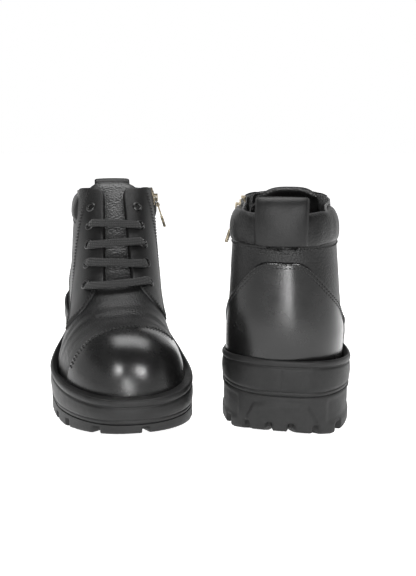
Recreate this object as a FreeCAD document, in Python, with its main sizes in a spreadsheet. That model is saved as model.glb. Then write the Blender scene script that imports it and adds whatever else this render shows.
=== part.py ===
"""A pair of black leather work boots with a side zip and a laced front, in millimetres.

Each boot is described in its own frame: x runs from the back of the heel to the toe, y to the wearer's left
(the medial, zip side of this right-foot boot) and z up from the ground.  The two boots stand side by side,
boot a with its toe towards -Y and boot b with its toe towards +Y.
"""

import math
import os

import FreeCAD
import Part
import Sketcher
from FreeCAD import Matrix, Placement, Rotation, Vector

doc = FreeCAD.newDocument("work_boots")

# ---------------------------------------------------------------- driving dimensions
DIMENSIONS = {
    # sole
    "sole_length": 302,
    "ball_width": 106,
    "waist_width": 88,
    "heel_width": 94,
    "ball_station": 212,
    "tread_depth": 6,
    "notch_width": 4,
    # upper
    "upper_length": 292,
    "upper_ball_width": 98,
    "upper_waist_width": 78,
    "upper_heel_width": 89,
    "collar_width": 77,
    "toe_box_height": 72.5,
    "shaft_top": 180,
    "cap_seam_station": 247.5,
    "collar_foot": 135.5,
    # layers, each a distance in from the outer face of the leather
    "leather": 2,
    "stiffener": 1,
    "safety_toe_steel": 2,
    "inner_face": 5.2,
    "collar_bulge": 2.5,
    "collar_inner_face": 7,
    "board": 2,
    "footbed_foam": 4,
    # tongue and lacing
    "tongue_half_width": 30,
    "tongue_outer": 5,
    "tongue_inner": 8.4,
    "tongue_top": 174,
    "gap_half_top": 8,
    "gap_half_bottom": 11.7,
    "throat_height": 92,
    "eyelet_top": 149.5,
    "eyelet_pitch": 15,
    "eyelet_offset_top": 20.4,
    "eyelet_offset_bottom": 27,
    "eyelet_rows": 5,
    "lace_width": 7.5,
    "lace_thick": 1.2,
    "eyelet_barrel_radius": 2.7,
    "eyelet_hole_radius": 2.2,
    "eyelet_flange_radius": 4.4,
    "eyelet_flange_thick": 0.5,
    "hidden_lace_width": 3,
    "aglet_radius": 1.1,
    "aglet_length": 14,
    # pull loop
    "loop_width": 36,
    "loop_strap": 1.8,
    "loop_top": 168,
    "loop_foot": 137,
    # zip, measured along the zip line, across it and out from the chain's middle
    "zip_depth": 2.5,
    "zip_top_station": 92.5,
    "zip_top_height": 161.5,
    "zip_foot_station": 78,
    "zip_foot_height": 62,
    "zip_slot_width": 11,
    "zip_tape_width": 25,
    "zip_tape_thick": 0.6,
    "chain_width": 6,
    "chain_thick": 2.2,
    "chain_gap": 1.8,
    "chain_edge_thick": 0.5,
    "stop_inset": 1.4,
    "stop_overhang": 0.6,
    "stop_length": 2,
    "stop_thick": 3.2,
    "guard_width": 20,
    "guard_thick": 1.2,
    "slider_start": 1,
    "slider_length": 12,
    "slider_width": 9.4,
    "slider_plate": 1.1,
    "slider_gap": 2.8,
    "slider_tape_gap": 1.2,
    "slider_post": 1.2,
    "bridge_length": 7,
    "bridge_height": 3.6,
    "bridge_width": 1.8,
    "pivot_height": 1.4,
    "bridge_hole_radius": 1.15,
    "link_wire_radius": 0.65,
    "link_width": 7.2,
    "link_length": 7.4,
    "pull_eye_radius": 1.9,
    "pull_hole_radius": 0.95,
    "pull_neck_width": 3.6,
    "pull_neck_length": 12,
    "pull_neck_thick": 1.6,
    "pull_grip_width": 5,
    "pull_grip_length": 11,
    "pull_grip_thick": 2.6,
    "pull_rest_angle": 14,
    # shank
    "shank_length": 100,
    "shank_width": 14,
    "shank_thick": 1.2,
    # standing of the pair
    "boot_a_across": -80,
    "boot_b_across": 73,
    "boot_b_back": 20,
    "boot_a_turn": 10,
    "boot_b_turn": 8.5,
}

sheet = doc.addObject("Spreadsheet::Sheet", "dims")
for row, (alias, value) in enumerate(DIMENSIONS.items(), start=1):
    sheet.set(f"A{row}", alias)
    sheet.set(f"B{row}", str(value))
    sheet.setAlias(f"B{row}", alias)
doc.recompute()


def dim(alias):
    """A driving dimension, read from the sheet."""
    return float(sheet.get(alias))


# Side-view lines of the boot as (x, z) points, back to front.
FLOOR_LINE = [(-30, 40), (80, 40), (190, 26), (240, 26), (330, 34)]
RAND_TOP_LINE = [(-30, 58), (4, 57), (50, 50), (100, 45), (150, 40), (200, 36), (260, 35), (330, 36)]
MIDSOLE_BASE_LINE = [(-30, 31), (50, 30), (100, 25), (190, 14), (250, 13), (330, 21)]
GROUND_LINE = [(-30, 12), (0, 4), (12, 0), (88, 0), (94, 10), (120, 9), (130, 0), (215, 0), (260, 3.5), (330, 17)]
TOPLINE = [(-30, 157), (50, 157.5), (86, 163), (106, 166.5), (122, 168), (160, 168.5)]
WING_LINE = {
    -1: [(184, 92), (196, 82), (203, 72), (197, 59), (187, 20)],
    1: [(184, 92), (190, 83), (191, 71), (183, 57), (173, 20)],
}
FACING_LINE = {
    -1: [(103, 190), (115, 160), (120, 142), (130, 102), (142, 78), (170, 64), (215, 58)],
    1: [(104, 190), (110, 160), (115, 142), (125, 106), (138, 80), (162, 66), (205, 56)],
}
COUNTER_LINE = [(-30, 128), (6, 124), (15, 110), (36, 93), (55, 79), (72, 66), (88, 20)]
STIFFENER_LINE = [(-30, 118), (6, 113), (18, 98), (40, 80), (62, 60), (70, 20)]

WAIST_STATION = 115
HEEL_STATION = 50
HEEL_BACK = -1
FAR_X, FAR_Y = 400, 90  # beyond the toe and beyond either side of the boot
SKY, UNDERGROUND = 260, -40
PLAY = 0.2  # the gap left where two pieces only rest against each other


def smooth(t):
    """A step from 0 to 1 with no slope at either end."""
    t = min(1.0, max(0.0, t))
    return t * t * (3 - 2 * t)


def superellipse(t, power):
    """The quarter curve that starts level at t 0 and drops to 0 at t 1."""
    t = min(1.0, max(0.0, t))
    return (1 - t**power) ** (1 / power)


# ---------------------------------------------------------------- shape of the upper
TOE_PLAN_POWER = 2.3
HEEL_PLAN_POWER = 2.3
TOE_PROFILE_POWER = 2.2
TOE_PROFILE_STATION = 250
DOME_BASE = 22
DOME_POWER = 2.3
SHAFT_BASE = 30
SHAFT_FRONT_POWER = 2.7
SHAFT_BACK_POWER = 2.3
SHAFT_LEAN = 0.864  # how far the front of the shaft comes forward for each unit down
SHAFT_FRONT_AT_TOP = 108.7
LEAN_OFFSET = 1.32  # an inset measured along x, on the leaning front


def centre_line(x):
    """The plan's middle: straight at the heel, out to the little toe at the ball, in to the big toe."""
    return -2.5 * smooth((x - 90) / 100) + 9 * smooth((x - 200) / 110)


def upper_half_width(x, inset):
    """Half of the forefoot's width where it meets the sole."""
    ball = dim("ball_station")
    widest = dim("upper_ball_width") / 2 - inset
    if x >= ball:
        return widest * superellipse((x - ball) / (dim("upper_length") - inset - ball), TOE_PLAN_POWER)
    waist = dim("upper_waist_width") / 2 - inset
    return widest - (widest - waist) * smooth((ball - x) / 110)


def ridge_height(x, inset):
    """The height of the forefoot's top line, which rises from the toe box to the throat."""
    top = dim("toe_box_height") - inset
    if x > TOE_PROFILE_STATION:
        reach = dim("upper_length") - inset - TOE_PROFILE_STATION
        return DOME_BASE + (top - DOME_BASE) * superellipse((x - TOE_PROFILE_STATION) / reach, TOE_PROFILE_POWER)
    return top + 22 * smooth((TOE_PROFILE_STATION - x) / 110)


def forefoot_section(x, inset):
    """A D-shaped wire across the forefoot at station x."""
    half, middle = upper_half_width(x, inset), centre_line(x)
    rise = ridge_height(x, inset) - DOME_BASE
    points = []
    for i in range(17):
        angle = math.pi * i / 16
        c, s = math.cos(angle), math.sin(angle)
        y = middle + half * math.copysign(abs(c) ** (2 / DOME_POWER), c)
        points.append(Vector(x, y, DOME_BASE + rise * s ** (2 / DOME_POWER)))
    arch = Part.BSplineCurve()
    arch.interpolate(points)
    return Part.Wire([arch.toShape(), Part.LineSegment(points[-1], points[0]).toShape()])


def shaft_back(z):
    """The back line of the heel and the Achilles tendon."""
    return 7 * smooth((z - 75) / 60) + 3 * max(0.0, (75 - z) / 45) ** 2


def shaft_front(z):
    return SHAFT_FRONT_AT_TOP + SHAFT_LEAN * (dim("shaft_top") - z)


def shaft_half_width(z):
    heel, collar = dim("upper_heel_width") / 2, dim("collar_width") / 2
    return heel - (heel - collar) * min(1.0, max(0.0, (z - 70) / 90))


def shaft_widest(z):
    return 55 + 7 * smooth((z - 60) / 100)


def shaft_lean(z):
    """How far the ankle stands towards the medial side."""
    return 2.4 * min(1.0, max(0.0, (z - 70) / 90))


def shaft_point(z, angle, inset=0.0):
    """A point of the shaft's outer face at height z; angle 0 is the front and 90 degrees the zip side."""
    c, s = math.cos(angle), math.sin(angle)
    middle, half = shaft_widest(z), shaft_half_width(z) - inset
    if c >= 0:
        reach, power = shaft_front(z) - inset * LEAN_OFFSET - middle, SHAFT_FRONT_POWER
    else:
        reach, power = middle - shaft_back(z) - inset, SHAFT_BACK_POWER
    x = middle + reach * math.copysign(abs(c) ** (2 / power), c)
    return Vector(x, shaft_lean(z) + half * math.copysign(abs(s) ** (2 / power), s), z)


def throat_point(z, y, inset=0.0):
    """The point of the shaft's front at height z and distance y from the middle."""
    middle, half = shaft_widest(z), shaft_half_width(z) - inset
    reach = shaft_front(z) - inset * LEAN_OFFSET - middle
    across = abs(y - shaft_lean(z)) / half
    return Vector(middle + reach * superellipse(across, SHAFT_FRONT_POWER), y, z)


def medial_point(x, z):
    """The point of the shaft's medial side at station x, ahead of its widest place, and height z."""
    middle = shaft_widest(z)
    along = (x - middle) / (shaft_front(z) - middle)
    return Vector(x, shaft_lean(z) + shaft_half_width(z) * superellipse(along, SHAFT_FRONT_POWER), z)


def shaft_section(z, inset):
    """A closed egg-shaped wire round the ankle at height z."""
    points = [shaft_point(z, 2 * math.pi * i / 32, inset) for i in range(32)]
    egg = Part.BSplineCurve()
    egg.interpolate(points, PeriodicFlag=True)
    return Part.Wire([egg.toShape()])


def prism(line, corners, to_point, sweep, curved):
    """A solid swept from an outline: a line of points, smooth where curved, then straight through the corners."""
    start = [to_point(a, b) for a, b in line]
    if curved:
        spline = Part.BSplineCurve()
        spline.interpolate(start)
        edges, rest = [spline.toShape()], start[-1:]
    else:
        edges, rest = [], list(start)
    rest += [to_point(a, b) for a, b in corners] + start[:1]
    edges += [Part.LineSegment(a, b).toShape() for a, b in zip(rest, rest[1:])]
    solid = Part.Face(Part.Wire(edges)).extrude(sweep)
    if solid.Volume < 0:
        solid.reverse()
    return solid


def side_prism(line, corners, y_from=-FAR_Y, y_to=FAR_Y, curved=False):
    """A solid with a side-view outline of (x, z) points, from y_from to y_to."""
    return prism(line, corners, lambda x, z: Vector(x, y_from, z), Vector(0, y_to - y_from, 0), curved)


def plan_prism(line, corners, curved=False):
    """A solid with a plan outline of (x, y) points, from underground to the sky."""
    return prism(line, corners, lambda x, y: Vector(x, y, UNDERGROUND), Vector(0, 0, SKY - UNDERGROUND), curved)


def above(line, curved=False):
    """All that lies above a side-view line."""
    return side_prism(line, [(FAR_X, line[-1][1]), (FAR_X, SKY), (line[0][0], SKY)], curved=curved)


def below(line, curved=False):
    """All that lies below a side-view line."""
    corners = [(FAR_X, line[-1][1]), (FAR_X, UNDERGROUND), (line[0][0], UNDERGROUND)]
    return side_prism(line, corners, curved=curved)


def lifted(line, rise):
    return [(x, z + rise) for x, z in line]


def height_on(line, x):
    """The height of a side-view line at station x."""
    for (x0, z0), (x1, z1) in zip(line, line[1:]):
        if x0 <= x <= x1:
            return z0 + (z1 - z0) * (x - x0) / (x1 - x0)
    raise ValueError(f"station {x} is off the line")


def body_of_upper(inset):
    """The closed shape of the upper, a distance inset inside the leather's outer face."""
    tip = dim("upper_length") - inset
    stations = [70, 110, 150, 185, 212, 235, tip - 40, tip - 26, tip - 15, tip - 7, tip - 2.4, tip - 0.4]
    forefoot = Part.makeLoft([forefoot_section(x, inset) for x in stations], True)
    heights = [SHAFT_BASE, 45, 60, 75, 95, 115, 135, 155, dim("shaft_top")]
    shaft = Part.makeLoft([shaft_section(z, inset) for z in heights], True)
    return shaft.fuse(forefoot).common(above(FLOOR_LINE))


_bodies = {}


def upper(inset):
    """body_of_upper, made once for each inset."""
    key = round(inset, 3)
    if key not in _bodies:
        _bodies[key] = body_of_upper(inset)
    return _bodies[key]


def layer(outside, inside):
    """The shell of the upper between two insets, cut off at the top line."""
    return upper(outside).cut(upper(inside)).common(below(TOPLINE, True))


# ---------------------------------------------------------------- the zip's own frame
ZIP_TOP = medial_point(dim("zip_top_station"), dim("zip_top_height"))
ZIP_FOOT = medial_point(dim("zip_foot_station"), dim("zip_foot_height"))
ZIP_DOWN = (ZIP_FOOT - ZIP_TOP).normalize()
ZIP_LENGTH = (ZIP_FOOT - ZIP_TOP).Length


def zip_outward():
    """The outward normal of the leather at the middle of the zip."""
    x, z = (ZIP_TOP.x + ZIP_FOOT.x) / 2, (ZIP_TOP.z + ZIP_FOOT.z) / 2
    forward = medial_point(x + 1, z) - medial_point(x - 1, z)
    return forward.cross(ZIP_DOWN).normalize()


ZIP_OUT = zip_outward()
ZIP_ACROSS = ZIP_OUT.cross(ZIP_DOWN)  # towards the heel
ZIP_ORIGIN = ZIP_TOP - ZIP_OUT * dim("zip_depth")


def frame_of(along, across, out, origin):
    """The placement whose x, y and z axes are the three directions."""
    matrix = Matrix(
        along.x, across.x, out.x, origin.x,
        along.y, across.y, out.y, origin.y,
        along.z, across.z, out.z, origin.z,
        0, 0, 0, 1,
    )
    return Placement(matrix)


ZIP_FRAME = frame_of(ZIP_DOWN, ZIP_ACROSS, ZIP_OUT, ZIP_ORIGIN)


def zip_box(along, across, out):
    """A box between the given limits down the zip line, across it and out from it."""
    size = [high - low for low, high in (along, across, out)]
    box = Part.makeBox(*size, Vector(along[0], across[0], out[0]))
    box.Placement = ZIP_FRAME.multiply(box.Placement)
    return box


def zip_strip(half_width, start=-30.0, end=None):
    """A cutter through everything along the zip line."""
    end = ZIP_LENGTH if end is None else end
    return zip_box((start, end), (-half_width, half_width), (-14, 14))


# ---------------------------------------------------------------- regions of the upper
def side_limits(side):
    """The y range of the lateral (-1) or the medial (1) half."""
    return (-FAR_Y, 0) if side < 0 else (0, FAR_Y)


CAP_SLANT = 0.28
CAP_BOW, CAP_BOW_REACH = 9, 45  # how far back the seam has bowed at that distance from the middle


def cap_seam(y, back=0.0):
    """The station of the toe cap's seam, which is square to the slanted toe."""
    return dim("cap_seam_station") - back - CAP_SLANT * y - CAP_BOW * (y / CAP_BOW_REACH) ** 2


def toe_zone(back=0.0):
    line = [(cap_seam(y, back), y) for y in range(-60, 61, 15)]
    return plan_prism(line, [(FAR_X, 60), (FAR_X, -60)], curved=True)


def vamp_zone(side):
    """Ahead of the quarter's front edge, up to the throat."""
    line = WING_LINE[side]
    corners = [(FAR_X, line[-1][1]), (FAR_X, line[0][1])]
    half = dim("gap_half_bottom")
    tip = Part.makeBox(250, half, line[0][1] - UNDERGROUND, Vector(150, -half if side < 0 else 0, UNDERGROUND))
    return side_prism(line, corners, *side_limits(side)).fuse(tip)


def facing_zone(side):
    """Ahead of the eyelet facing's rear edge."""
    line = FACING_LINE[side]
    return side_prism(line, [(FAR_X, line[-1][1]), (FAR_X, line[0][1])], *side_limits(side), curved=True)


def counter_zone(line):
    """The back of the heel, under a side-view line."""
    return side_prism(line, [(-30, UNDERGROUND)], curved=False)


def gap_half(z):
    """Half of the opening between the facings."""
    low, high = dim("gap_half_bottom"), dim("gap_half_top")
    return low + (high - low) * (z - dim("throat_height")) / (TOPLINE[-1][1] - dim("throat_height"))


def gap_zone():
    """The opening between the two facings, above the throat."""
    low, high = dim("throat_height"), 200
    corners = [(-gap_half(low), low), (gap_half(low), low), (gap_half(high), high), (-gap_half(high), high)]
    return prism(corners, [], lambda y, z: Vector(90, y, z), Vector(200, 0, 0), False)


def tongue_zone(play=0.0):
    half, low = dim("tongue_half_width") + play, dim("throat_height") - 7 - play
    return Part.makeBox(220, 2 * half, SKY, Vector(98 - play, -half, low))


def collar_zone(play=0.0):
    """The padded roll's region: round the back of the top, as far as the facing and the zip."""
    foot = dim("collar_foot") - play
    lateral = side_prism([(-40, foot), (112 + play, foot)], [(100 + play, 190), (-40, 190)], -FAR_Y, 0)
    edge = dim("zip_slot_width") / 2 - play
    front_foot, front_top = (ZIP_TOP + ZIP_DOWN * (ZIP_TOP.z - z) + ZIP_ACROSS * edge for z in (foot, 190))
    corners = [(front_top.x, 190), (-40, 190)]
    return lateral.fuse(side_prism([(-40, foot), (front_foot.x, foot)], corners, 0, FAR_Y))


# ---------------------------------------------------------------- sole
SOLE_PLAN_POWER = 2.3


def sole_plan():
    """The sole's outline, seen from above, as a closed wire."""
    ball, tip = dim("ball_station"), dim("sole_length")
    ball_half, waist_half, heel_half = (dim(name) / 2 for name in ("ball_width", "waist_width", "heel_width"))

    def side_half(x):
        if x > WAIST_STATION:
            return ball_half - (ball_half - waist_half) * smooth((ball - x) / (ball - WAIST_STATION))
        return waist_half + (heel_half - waist_half) * smooth((WAIST_STATION - x) / (WAIST_STATION - HEEL_STATION))

    def end_arc(station, reach, half, turns):
        arc = []
        for turn in turns:
            c, s = math.cos(turn), math.sin(turn)
            x = station + reach * abs(c) ** (2 / SOLE_PLAN_POWER)
            arc.append((x, centre_line(x) + half * math.copysign(abs(s) ** (2 / SOLE_PLAN_POWER), s)))
        return arc

    turns = [math.pi * k / 16 for k in range(-8, 9)]
    stations = [188, 164, 140, 115, 92, 70]
    points = end_arc(ball, tip - ball, ball_half, turns)
    points += [(x, centre_line(x) + side_half(x)) for x in stations]
    points += end_arc(HEEL_STATION, HEEL_BACK - HEEL_STATION, heel_half, reversed(turns))
    points += [(x, centre_line(x) - side_half(x)) for x in reversed(stations)]
    outline = Part.BSplineCurve()
    outline.interpolate([Vector(x, y, UNDERGROUND) for x, y in points], PeriodicFlag=True)
    return Part.Wire([outline.toShape()])


def sole_block(low_line, high_line):
    block = Part.Face(sole_plan()).extrude(Vector(0, 0, SKY - UNDERGROUND))
    return block.common(above(low_line)).common(below(high_line))


SHANK_START = 85


def shank_frame():
    """Under the insole board, in line with the sloping floor; the origin is the shank's rear top corner."""
    rise = height_on(FLOOR_LINE, SHANK_START + 50) - height_on(FLOOR_LINE, SHANK_START)
    turn = Rotation(Vector(0, 1, 0), -math.degrees(math.atan2(rise, 50)))
    return Placement(Vector(SHANK_START, 0, height_on(FLOOR_LINE, SHANK_START) - PLAY), turn)


def shank_pocket():
    size = [dim("shank_length") + 2 * PLAY, dim("shank_width") + 2 * PLAY, dim("shank_thick") + 1]
    box = Part.makeBox(*size, Vector(-PLAY, -size[1] / 2, -dim("shank_thick") - PLAY))
    box.Placement = shank_frame().multiply(box.Placement)
    return box


def make_midsole():
    return sole_block(MIDSOLE_BASE_LINE, RAND_TOP_LINE).cut(upper(0)).cut(shank_pocket())


SIDE_NOTCH_STATIONS = (18, 44, 70, 146, 166, 186, 206, 226, 246, 266)
SIDE_NOTCH_INNER, SIDE_NOTCH_REACH, SIDE_NOTCH_SLANT = 16, 46, 14
HEEL_NOTCHES, HEEL_NOTCH_START, HEEL_NOTCH_LENGTH = (-16, 0, 16), -6, 22
TOE_NOTCHES, TOE_NOTCH_START, TOE_NOTCH_LENGTH = (-22, 12), 282, 30


def tread_notch(start, low_side, length, reach, station):
    """A cutter up into the tread at one station, between the given limits."""
    top = height_on(GROUND_LINE, station) + dim("tread_depth")
    return Part.makeBox(length, reach, top - UNDERGROUND, Vector(start, low_side, UNDERGROUND))


def make_outsole():
    """The tread: a heel block and a forefoot block under a thin waist, cut into lugs."""
    width = dim("notch_width")
    notches = []
    for x in SIDE_NOTCH_STATIONS:
        for side in (-1, 1):
            low_side = SIDE_NOTCH_INNER if side > 0 else -SIDE_NOTCH_INNER - SIDE_NOTCH_REACH
            notch = tread_notch(x - width / 2, low_side, width, SIDE_NOTCH_REACH, x)
            notch.rotate(Vector(x, 0, 0), Vector(0, 0, 1), side * SIDE_NOTCH_SLANT)
            notches.append(notch)
    for y in HEEL_NOTCHES:
        notches.append(tread_notch(HEEL_NOTCH_START, y - width / 2, HEEL_NOTCH_LENGTH, width, 12))
    for y in TOE_NOTCHES:
        notches.append(tread_notch(TOE_NOTCH_START, y - width / 2, TOE_NOTCH_LENGTH, width, 290))
    return sole_block(GROUND_LINE, MIDSOLE_BASE_LINE).cut(notches)


# ---------------------------------------------------------------- soft pieces
def make_upper_pieces():
    """The leather panels, linings and stiffeners, by name."""
    pieces = {}
    leather = dim("leather")
    stiff = leather + dim("stiffener")
    inner = dim("inner_face")
    board_top = lifted(FLOOR_LINE, dim("board"))
    shell = layer(0, leather)
    collar = collar_zone()
    slot = zip_strip(dim("zip_slot_width") / 2, end=ZIP_LENGTH + dim("stop_length") + 2 * PLAY)
    counter, toe, gap = counter_zone(COUNTER_LINE), toe_zone(), gap_zone()

    pieces["toe_cap"] = shell.common(toe)
    pieces["vamp"] = shell.common(vamp_zone(-1).fuse(vamp_zone(1))).cut(toe)
    upright = shell.cut([collar, slot, gap])
    pieces["heel_counter"] = upright.common(counter)
    holes = [eyelet_frame(row, side) for row in eyelet_rows() for side in (-1, 1)]
    barrel = Part.makeCylinder(dim("eyelet_barrel_radius") + 0.05, 8, Vector(0, 0, -5))
    hole_cutters = [barrel.transformed(place.Matrix) for place in holes]
    for side, name in ((-1, "lateral"), (1, "medial")):
        half = Part.makeBox(400, FAR_Y, SKY, Vector(-40, side_limits(side)[0], 0))
        panel = upright.common(half).cut([vamp_zone(side), counter])
        pieces[f"facing_{name}"] = panel.common(facing_zone(side)).cut(hole_cutters)
        quarter = panel.cut(facing_zone(side))
        if side < 0:
            pieces["quarter_lateral"] = quarter
        else:
            solids = sorted(quarter.Solids, key=lambda solid: solid.CenterOfMass.x)
            pieces["quarter_medial_rear"], pieces["quarter_medial_front"] = solids[0], solids[-1]

    roll = upper(-dim("collar_bulge")).cut(upper(dim("collar_inner_face"))).common(below(TOPLINE, True))
    tongue_room = upper(dim("tongue_outer") - PLAY).common(tongue_zone(PLAY))
    guard = zip_box((-1, ZIP_LENGTH), (-dim("guard_width") / 2, dim("guard_width") / 2), guard_limits())
    guard_room = zip_strip(dim("guard_width") / 2 + PLAY, end=ZIP_LENGTH + PLAY)
    pieces["collar_pad"] = roll.common(collar).cut([guard_room, tongue_room])

    steel = upper(leather).cut(upper(leather + dim("safety_toe_steel"))).common(above(board_top))
    pieces["safety_toe"] = steel.common(toe_zone(-3))
    pieces["heel_stiffener"] = upper(leather).cut(upper(stiff)).common(above(board_top)).common(
        counter_zone(STIFFENER_LINE)
    )
    tape = upper(leather + 0.1).cut(upper(leather + 0.1 + dim("zip_tape_thick")))
    half_tape = dim("zip_tape_width") / 2
    tape = tape.common(zip_box((-1, ZIP_LENGTH + 2 * dim("stop_length") + 1), (-half_tape, half_tape), (-12, 12)))
    pieces["zip_tape"] = tape.cut([slot, collar_zone(PLAY)])
    pieces["zip_guard"] = guard
    lining = upper(leather).cut(upper(inner)).common(above(board_top)).common(below(TOPLINE, True))
    lining = lining.cut([pieces["safety_toe"], pieces["heel_stiffener"], pieces["zip_tape"]])
    pieces["lining"] = lining.cut([collar, slot, guard_room, tongue_zone(PLAY)])

    flap = upper(dim("tongue_outer")).cut(upper(dim("tongue_inner")))
    pieces["tongue"] = flap.common(tongue_zone()).common(below([(0, dim("tongue_top")), (300, dim("tongue_top"))]))
    pieces["insole_board"] = upper(leather).common(below(board_top))
    foam = upper(inner + PLAY).common(above(board_top))
    pieces["footbed"] = foam.common(below(lifted(board_top, dim("footbed_foam"))))
    pieces["pull_loop"] = make_pull_loop()
    return pieces


def guard_limits():
    """How far in from the chain the guard's two faces lie: just clear of the slider's inner plate."""
    face = -(dim("slider_gap") / 2 + dim("slider_plate") + 0.5)
    return (face - dim("guard_thick"), face)


def make_pull_loop():
    """A folded strap over the back of the collar, with room for a finger above the padding."""
    strap, half = dim("loop_strap"), dim("loop_width") / 2
    outside, inside = dim("collar_bulge") + PLAY, dim("collar_inner_face") + PLAY
    foot, top = dim("loop_foot"), dim("loop_top")
    reach = Part.makeBox(60, 2 * half, top - foot, Vector(-20, -half, foot))
    strap_block = upper(-outside - strap).cut(upper(inside + strap)).common(reach)
    hollow = upper(-outside).cut(upper(inside))
    return strap_block.cut(hollow.common(below([(-50, top - strap), (100, top - strap)])))


# ---------------------------------------------------------------- lacing
def eyelet_rows():
    return range(int(dim("eyelet_rows")))


def eyelet_place(row, side, inset=0.0):
    """The centre of an eyelet; row 0 is the top one."""
    last = dim("eyelet_rows") - 1
    offset = dim("eyelet_offset_top") + (dim("eyelet_offset_bottom") - dim("eyelet_offset_top")) * row / last
    return throat_point(dim("eyelet_top") - dim("eyelet_pitch") * row, side * offset, inset)


def throat_normal(z, y):
    """The outward normal of the shaft's front."""
    across = throat_point(z, y + 1) - throat_point(z, y - 1)
    up = throat_point(z + 1, y) - throat_point(z - 1, y)
    return across.cross(up).normalize()


def eyelet_frame(row, side):
    """A placement on the leather with z outwards and y across the boot."""
    place = eyelet_place(row, side)
    out = throat_normal(place.z, place.y)
    up = (throat_point(place.z + 1, place.y) - throat_point(place.z - 1, place.y)).normalize()
    return frame_of(up, out.cross(up), out, place)


BAR_LIFT = 1.5
HIDDEN_DEPTH = 3.6
LACED_ROWS = (1, 2, 3, 4)
TAIL_ROWS = (1, 2)
TAIL_SHIFT = {1: 1.5, 2: 4.5}
TAIL_REACH = 12


def lace_bar(row):
    """The bar that crosses the opening at one row, resting on the two facings."""
    ends = [eyelet_place(row, side) for side in (-1, 1)]
    up = (throat_point(ends[0].z + 1, 0) - throat_point(ends[0].z - 1, 0)).normalize()
    level = (ends[0] + ends[1]).dot(up) / 2
    upper_side, lower_side = [], []
    for k in range(9):
        y = ends[0].y + (ends[1].y - ends[0].y) * k / 8
        z = ends[0].z
        for _ in range(6):
            z += (level - throat_point(z, y).dot(up)) * up.z
        out = throat_normal(z, y)
        out = (out - up * out.dot(up)).normalize()
        point = throat_point(z, y)
        point += up * (level - point.dot(up))
        upper_side.append(point + out * (BAR_LIFT + dim("lace_thick") / 2))
        lower_side.append(point + out * (BAR_LIFT - dim("lace_thick") / 2))
    outline = upper_side + lower_side[::-1] + upper_side[:1]
    width = dim("lace_width")
    face = Part.Face(Part.makePolygon([point - up * (width / 2) for point in outline]))
    return face.extrude(up * width)


def lace_drop(row, side):
    """The lace's way down through an eyelet."""
    stem = Part.makeCylinder(dim("hidden_lace_width") / 2, BAR_LIFT + HIDDEN_DEPTH, Vector(0, 0, -HIDDEN_DEPTH))
    return stem.transformed(eyelet_frame(row, side).Matrix)


def hidden_point(row, side, shift):
    """A point between facing and tongue, under an eyelet or beside that."""
    return eyelet_frame(row, side).multVec(Vector(0, shift, -HIDDEN_DEPTH))


def tail_end(row):
    """Where each end of the lace stops: tucked in on the lateral side, above its last eyelet."""
    return eyelet_frame(row, -1).multVec(Vector(TAIL_REACH, TAIL_SHIFT[row], -HIDDEN_DEPTH))


def hidden_run(points):
    """The lace bunched to a round strand, from point to point."""
    radius = dim("hidden_lace_width") / 4
    strand = [Part.makeCylinder(radius, (b - a).Length, a, b - a) for a, b in zip(points, points[1:])]
    return strand + [Part.makeSphere(radius, point) for point in points[1:-1]]


def make_lace():
    """One flat lace: a straight bar at each laced row, joined by runs hidden under the facings."""
    parts = [lace_bar(row) for row in LACED_ROWS]
    parts += [lace_drop(row, side) for row in LACED_ROWS for side in (-1, 1)]
    parts += hidden_run([hidden_point(4, -1, 0), hidden_point(3, -1, 0)])
    parts += hidden_run([hidden_point(4, 1, 0), hidden_point(3, 1, 3.6), hidden_point(2, 1, 0)])
    parts += hidden_run([hidden_point(3, 1, 0), hidden_point(2, 1, -3.6), hidden_point(1, 1, 0)])
    for row in TAIL_ROWS:
        parts += hidden_run([hidden_point(row, -1, 0), tail_end(row)])
    lace = parts[0]
    for piece in parts[1:]:
        lace = lace.fuse(piece)
    return lace


def make_aglets():
    """The two stiff tips, carrying on from the ends of the lace."""
    tips = []
    for row in TAIL_ROWS:
        along = (tail_end(row) - hidden_point(row, -1, 0)).normalize()
        start = tail_end(row)
        tips.append(Part.makeCylinder(dim("aglet_radius"), dim("aglet_length"), start, along))
    return Part.makeCompound(tips)


# ---------------------------------------------------------------- zip
STOP_PLAY = 0.1


def make_zip_teeth():
    """The two rows of teeth, each on the woven edge of its tape."""
    inner, outer, edge = dim("chain_gap") / 2, dim("chain_width") / 2, dim("zip_slot_width") / 2
    thick, web = dim("chain_thick") / 2, dim("chain_edge_thick") / 2
    rows = []
    for side in (-1, 1):
        row = zip_box((0, ZIP_LENGTH), sorted((side * inner, side * outer)), (-thick, thick))
        rows.append(row.fuse(zip_box((0, ZIP_LENGTH), sorted((side * outer, side * edge)), (-web, web))))
    return Part.makeCompound(rows)


def make_zip_stops():
    """Two top stops, one on each row, and the bottom stop across both."""
    outer, length, thick = dim("chain_width") / 2 + dim("stop_overhang"), dim("stop_length"), dim("stop_thick") / 2
    tops = []
    for side in (-1, 1):
        across = sorted((side * dim("stop_inset"), side * outer))
        tops.append(zip_box((-length - STOP_PLAY, -STOP_PLAY), across, (-thick, thick)))
    foot = ZIP_LENGTH + STOP_PLAY
    bottom = zip_box((foot, foot + length), (-outer, outer), (-thick, thick))
    return Part.makeCompound(tops + [bottom])


# ---------------------------------------------------------------- the document's objects
def add_shape(name, shape, place):
    """A sub-part whose shape is worked out above from the sheet's sizes."""
    piece = doc.addObject("Part::Feature", name)
    piece.Shape = shape
    piece.Placement = place.multiply(shape.Placement)
    return piece


def add_primitive(kind, name, at=Vector(), turn=Rotation(), **sizes):
    """A Part primitive whose sizes follow the sheet."""
    solid = doc.addObject(f"Part::{kind}", name)
    for size, expression in sizes.items():
        solid.setExpression(size, expression)
    solid.Placement = Placement(at, turn)
    return solid


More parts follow.
